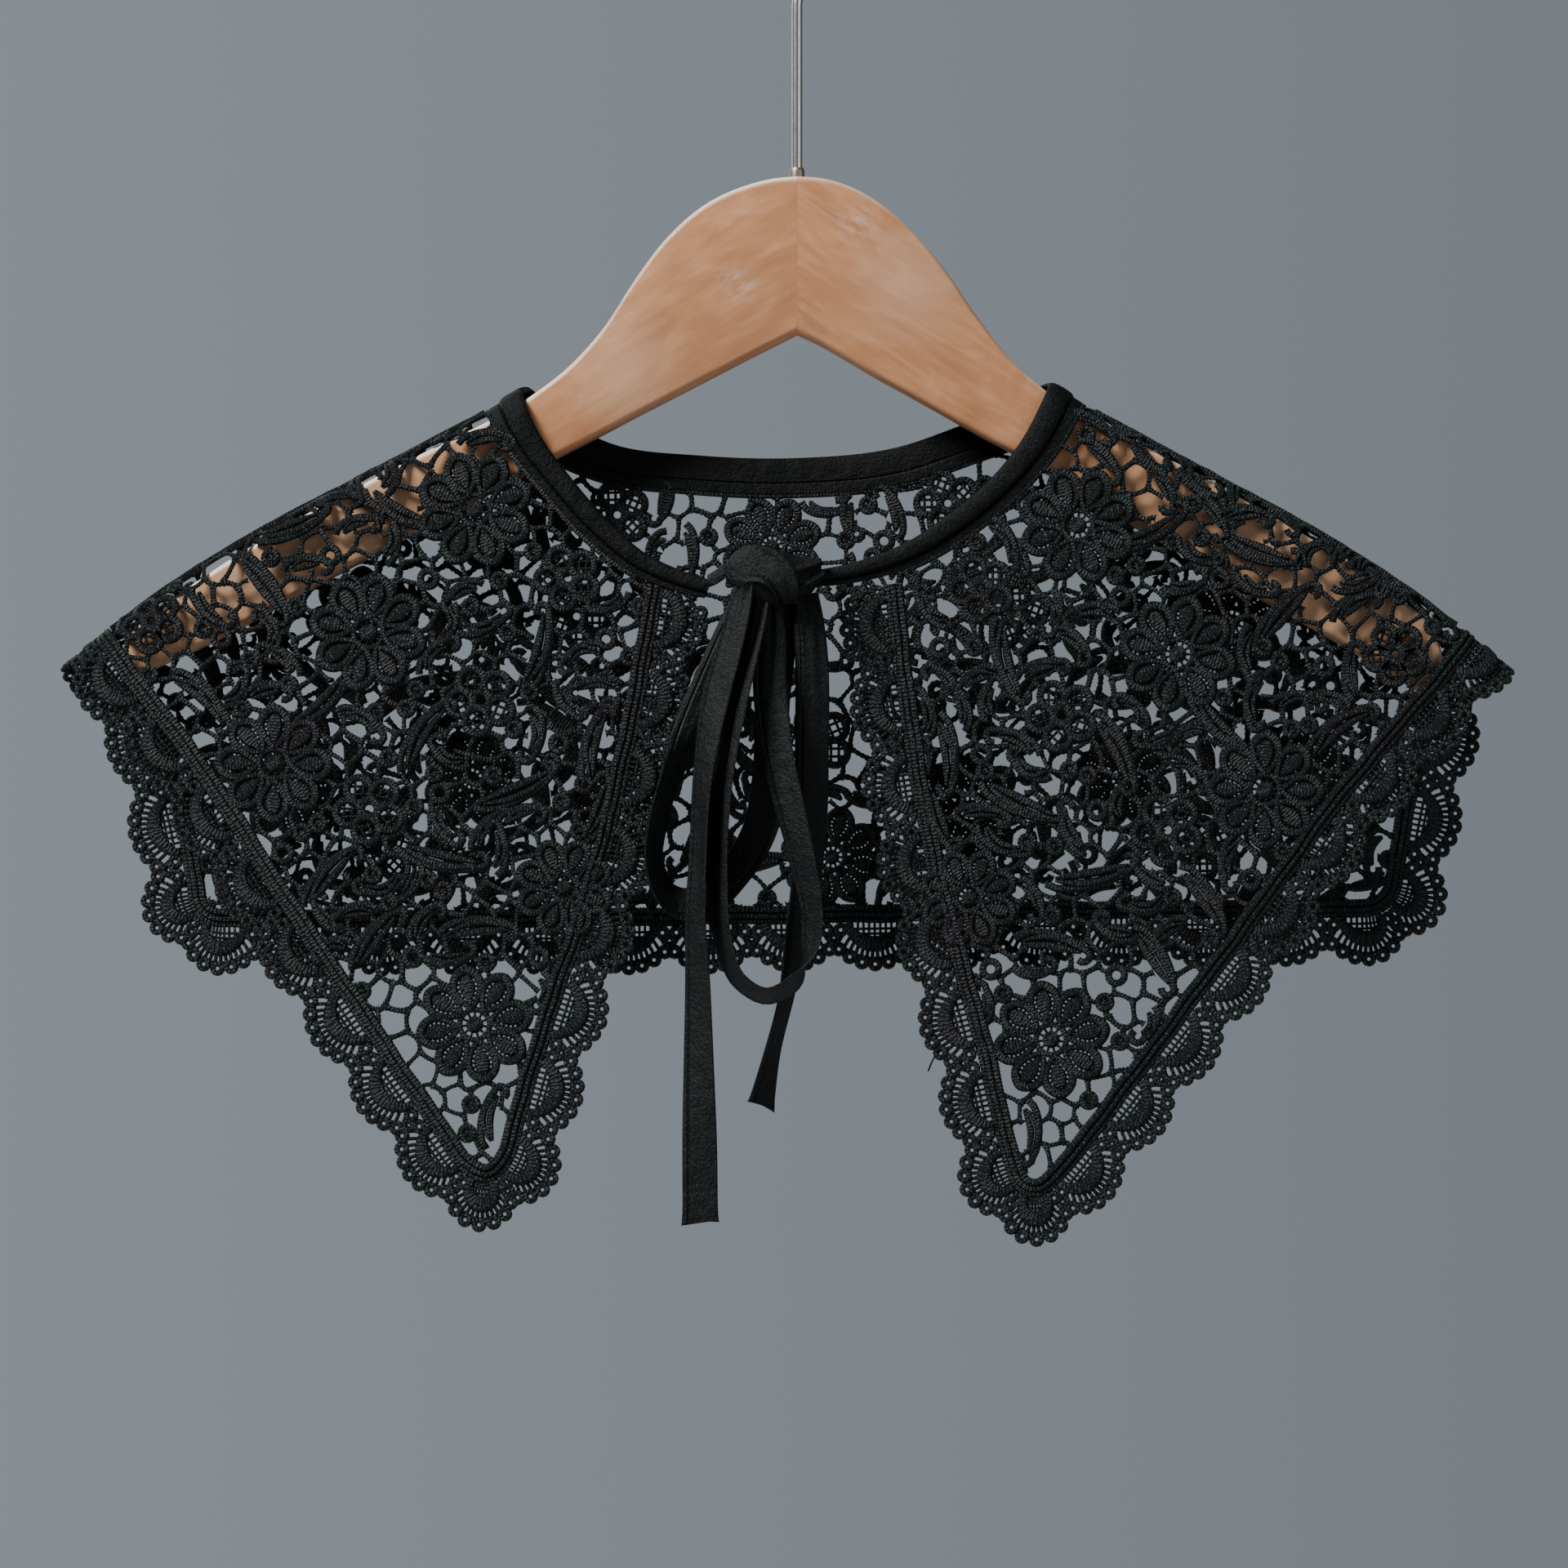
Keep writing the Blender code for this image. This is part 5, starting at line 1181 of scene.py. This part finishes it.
def hookWire():
    # shank, one small bend, then the round hook
    ring = hookSizes["inner"] + hookSizes["wire"]
    join = hookSizes["join"]
    meet = np.array([ring * math.cos(join), -hookSizes["inner"] + ring * math.sin(join)])
    bendRadius = meet[0] / (1 - math.cos(join))
    bend = np.linspace(0.0, -join, 16)
    lower = np.column_stack([bendRadius * (1 - np.cos(bend)),
                             meet[1] + bendRadius * (math.sin(join) + np.sin(bend))])
    turn = np.linspace(join, hookSizes["end"], 60)[1:]
    upper = np.column_stack([ring * np.cos(turn), -hookSizes["inner"] + ring * np.sin(turn)])
    shank = np.array([(0.0, -collar["crownDepth"] - arms["shankDepth"]), (0.0, -collar["crownDepth"] - 1.0)])
    route = np.vstack([shank, lower, upper])
    heading = unit(np.gradient(route, axis=0))
    angle = np.linspace(0.0, 2 * np.pi, hookSizes["around"], endpoint=False)
    radius = np.full(len(route), hookSizes["wire"])
    radius[-1] = hookSizes["tip"]
    rings = np.empty((len(route), len(angle), 3))
    rings[..., 0] = route[:, :1] - radius[:, None] * heading[:, 1:] * np.cos(angle)
    rings[..., 1] = radius[:, None] * np.sin(angle)
    rings[..., 2] = route[:, 1:] + radius[:, None] * heading[:, :1] * np.cos(angle)
    loft = (rings, np.arange(len(route)) * 1.0, np.linspace(0.0, 11.0, len(angle) + 1))
    loftPiece("hangerHook", [loft], wireSteel, "hanger_hook")


def hookCollar():
    # a turned profile of radius and height
    profile = hookSizes["profile"]
    angle = np.linspace(0.0, 2 * np.pi, 28, endpoint=False)
    rings = np.array([[(r * math.cos(a), r * math.sin(a), h - collar["crownDepth"]) for a in angle]
                      for r, h in profile])
    loft = (rings, np.arange(len(profile)) * 1.0, np.linspace(0.0, 18.0, len(angle) + 1))
    loftPiece("hookCollar", [loft], agedSteel, "hook_collar")


# fall: where the brightness of the backdrop seen behind starts and stops changing from left to right, and
# both values; a painted light falloff, brighter at the left
studio = dict(
    backdrop=(0.2176, 0.2475, 0.2760, 1.0), surround=(0.2176, 0.2462, 0.2732, 1.0), surroundStrength=0.45,
    fall=(-0.2, 0.2, 1.17, 0.84), floor=(0.72, 0.73, 0.75, 1.0), aim=(0.0, 0.0, -0.3), lamps=[
        # name, place, size, power
        ("keyLamp", (-1.7, -1.15, 1.7), 0.9, 150.0), ("fillLamp", (1.6, -1.5, 0.1), 1.6, 9.0),
        ("backLamp", (-1.0, 1.9, 0.5), 1.6, 12.0)])


def stageAndLight():
    # pale floor well below, an even pale surround, and a large soft lamp at the upper left
    bpy.ops.mesh.primitive_plane_add(size=5.0, location=(0.0, 0.0, -2.0))
    floor = bpy.context.object
    floor.name = "floor"
    floor.data.materials.append(Finish("paleFloor", Roughness=0.8, Base_Color=studio["floor"]).material)
    world = bpy.data.worlds.new("studio")
    world.use_nodes = True
    tree = world.node_tree
    seen = tree.nodes["Background"]
    seen.inputs["Color"].default_value = studio["backdrop"]
    split = tree.nodes.new("ShaderNodeSeparateXYZ")
    tree.links.new(tree.nodes.new("ShaderNodeTexCoord").outputs["Generated"], split.inputs[0])
    # the backdrop seen by the camera is brighter at the left: a painted light falloff
    fall = tree.nodes.new("ShaderNodeMapRange")
    for socket, value in zip(fall.inputs[1:5], studio["fall"]):
        socket.default_value = value
    dim = tree.nodes.new("ShaderNodeBackground")
    dim.inputs["Color"].default_value = studio["surround"]
    dim.inputs["Strength"].default_value = studio["surroundStrength"]
    path = tree.nodes.new("ShaderNodeLightPath")
    mix = tree.nodes.new("ShaderNodeMixShader")
    for output, socket in ((split.outputs[0], fall.inputs[0]), (fall.outputs[0], seen.inputs["Strength"]),
                           (path.outputs["Is Camera Ray"], mix.inputs[0]), (dim.outputs[0], mix.inputs[1]),
                           (seen.outputs[0], mix.inputs[2]),
                           (mix.outputs[0], tree.nodes["World Output"].inputs["Surface"])):
        tree.links.new(output, socket)
    bpy.context.scene.world = world
    for name, place, size, power in studio["lamps"]:
        lamp = bpy.data.lights.new(name, "AREA")
        lamp.energy = power
        lamp.size = size
        item = bpy.data.objects.new(name, lamp)
        item.location = place
        item.rotation_euler = (Vector(studio["aim"]) - Vector(place)).to_track_quat("-Z", "Y").to_euler()
        bpy.context.scene.collection.objects.link(item)


photo = dict(sensor=36.0, distance=1500.0, across=537.6, place=(-0.0045, -1.5, -0.3178))


def photoCamera():
    # level, 1.5 m in front of the hanger: 538 mm of its plane fill the frame
    lens = bpy.data.cameras.new("photoCamera")
    lens.sensor_width = photo["sensor"]
    lens.lens = photo["sensor"] * photo["distance"] / photo["across"]
    camera = bpy.data.objects.new("photoCamera", lens)
    camera.location = photo["place"]
    camera.rotation_euler = (math.radians(90.0), 0.0, 0.0)
    bpy.context.scene.collection.objects.link(camera)
    bpy.context.scene.camera = camera


photoCamera()
stageAndLight()
armPiece(-1, woodLeft)
armPiece(1, woodRight)
hookWire()
hookCollar()
print("hanger made")
frontCloth(-1)
frontCloth(1)
backCloth()
print("lace made")
knotPiece()
loftPiece("tieFeed", [bundleLoft(tieFeed, 10, 16, 0.03)], tieRibbon, "tie_feed")
ribbonPiece("tieTailLong", longTail, 2.5, False, "tie_tail_long", 0.6)
ribbonPiece("tieTailShort", shortTail, 2.5, False, "tie_tail_short", -1.0)
ribbonPiece("bowLoopFront", frontLoop, 2.2, True, "bow_loop_front")
ribbonPiece("bowLoopBack", backLoop, 2.2, True, "bow_loop_back")
print("tie made")
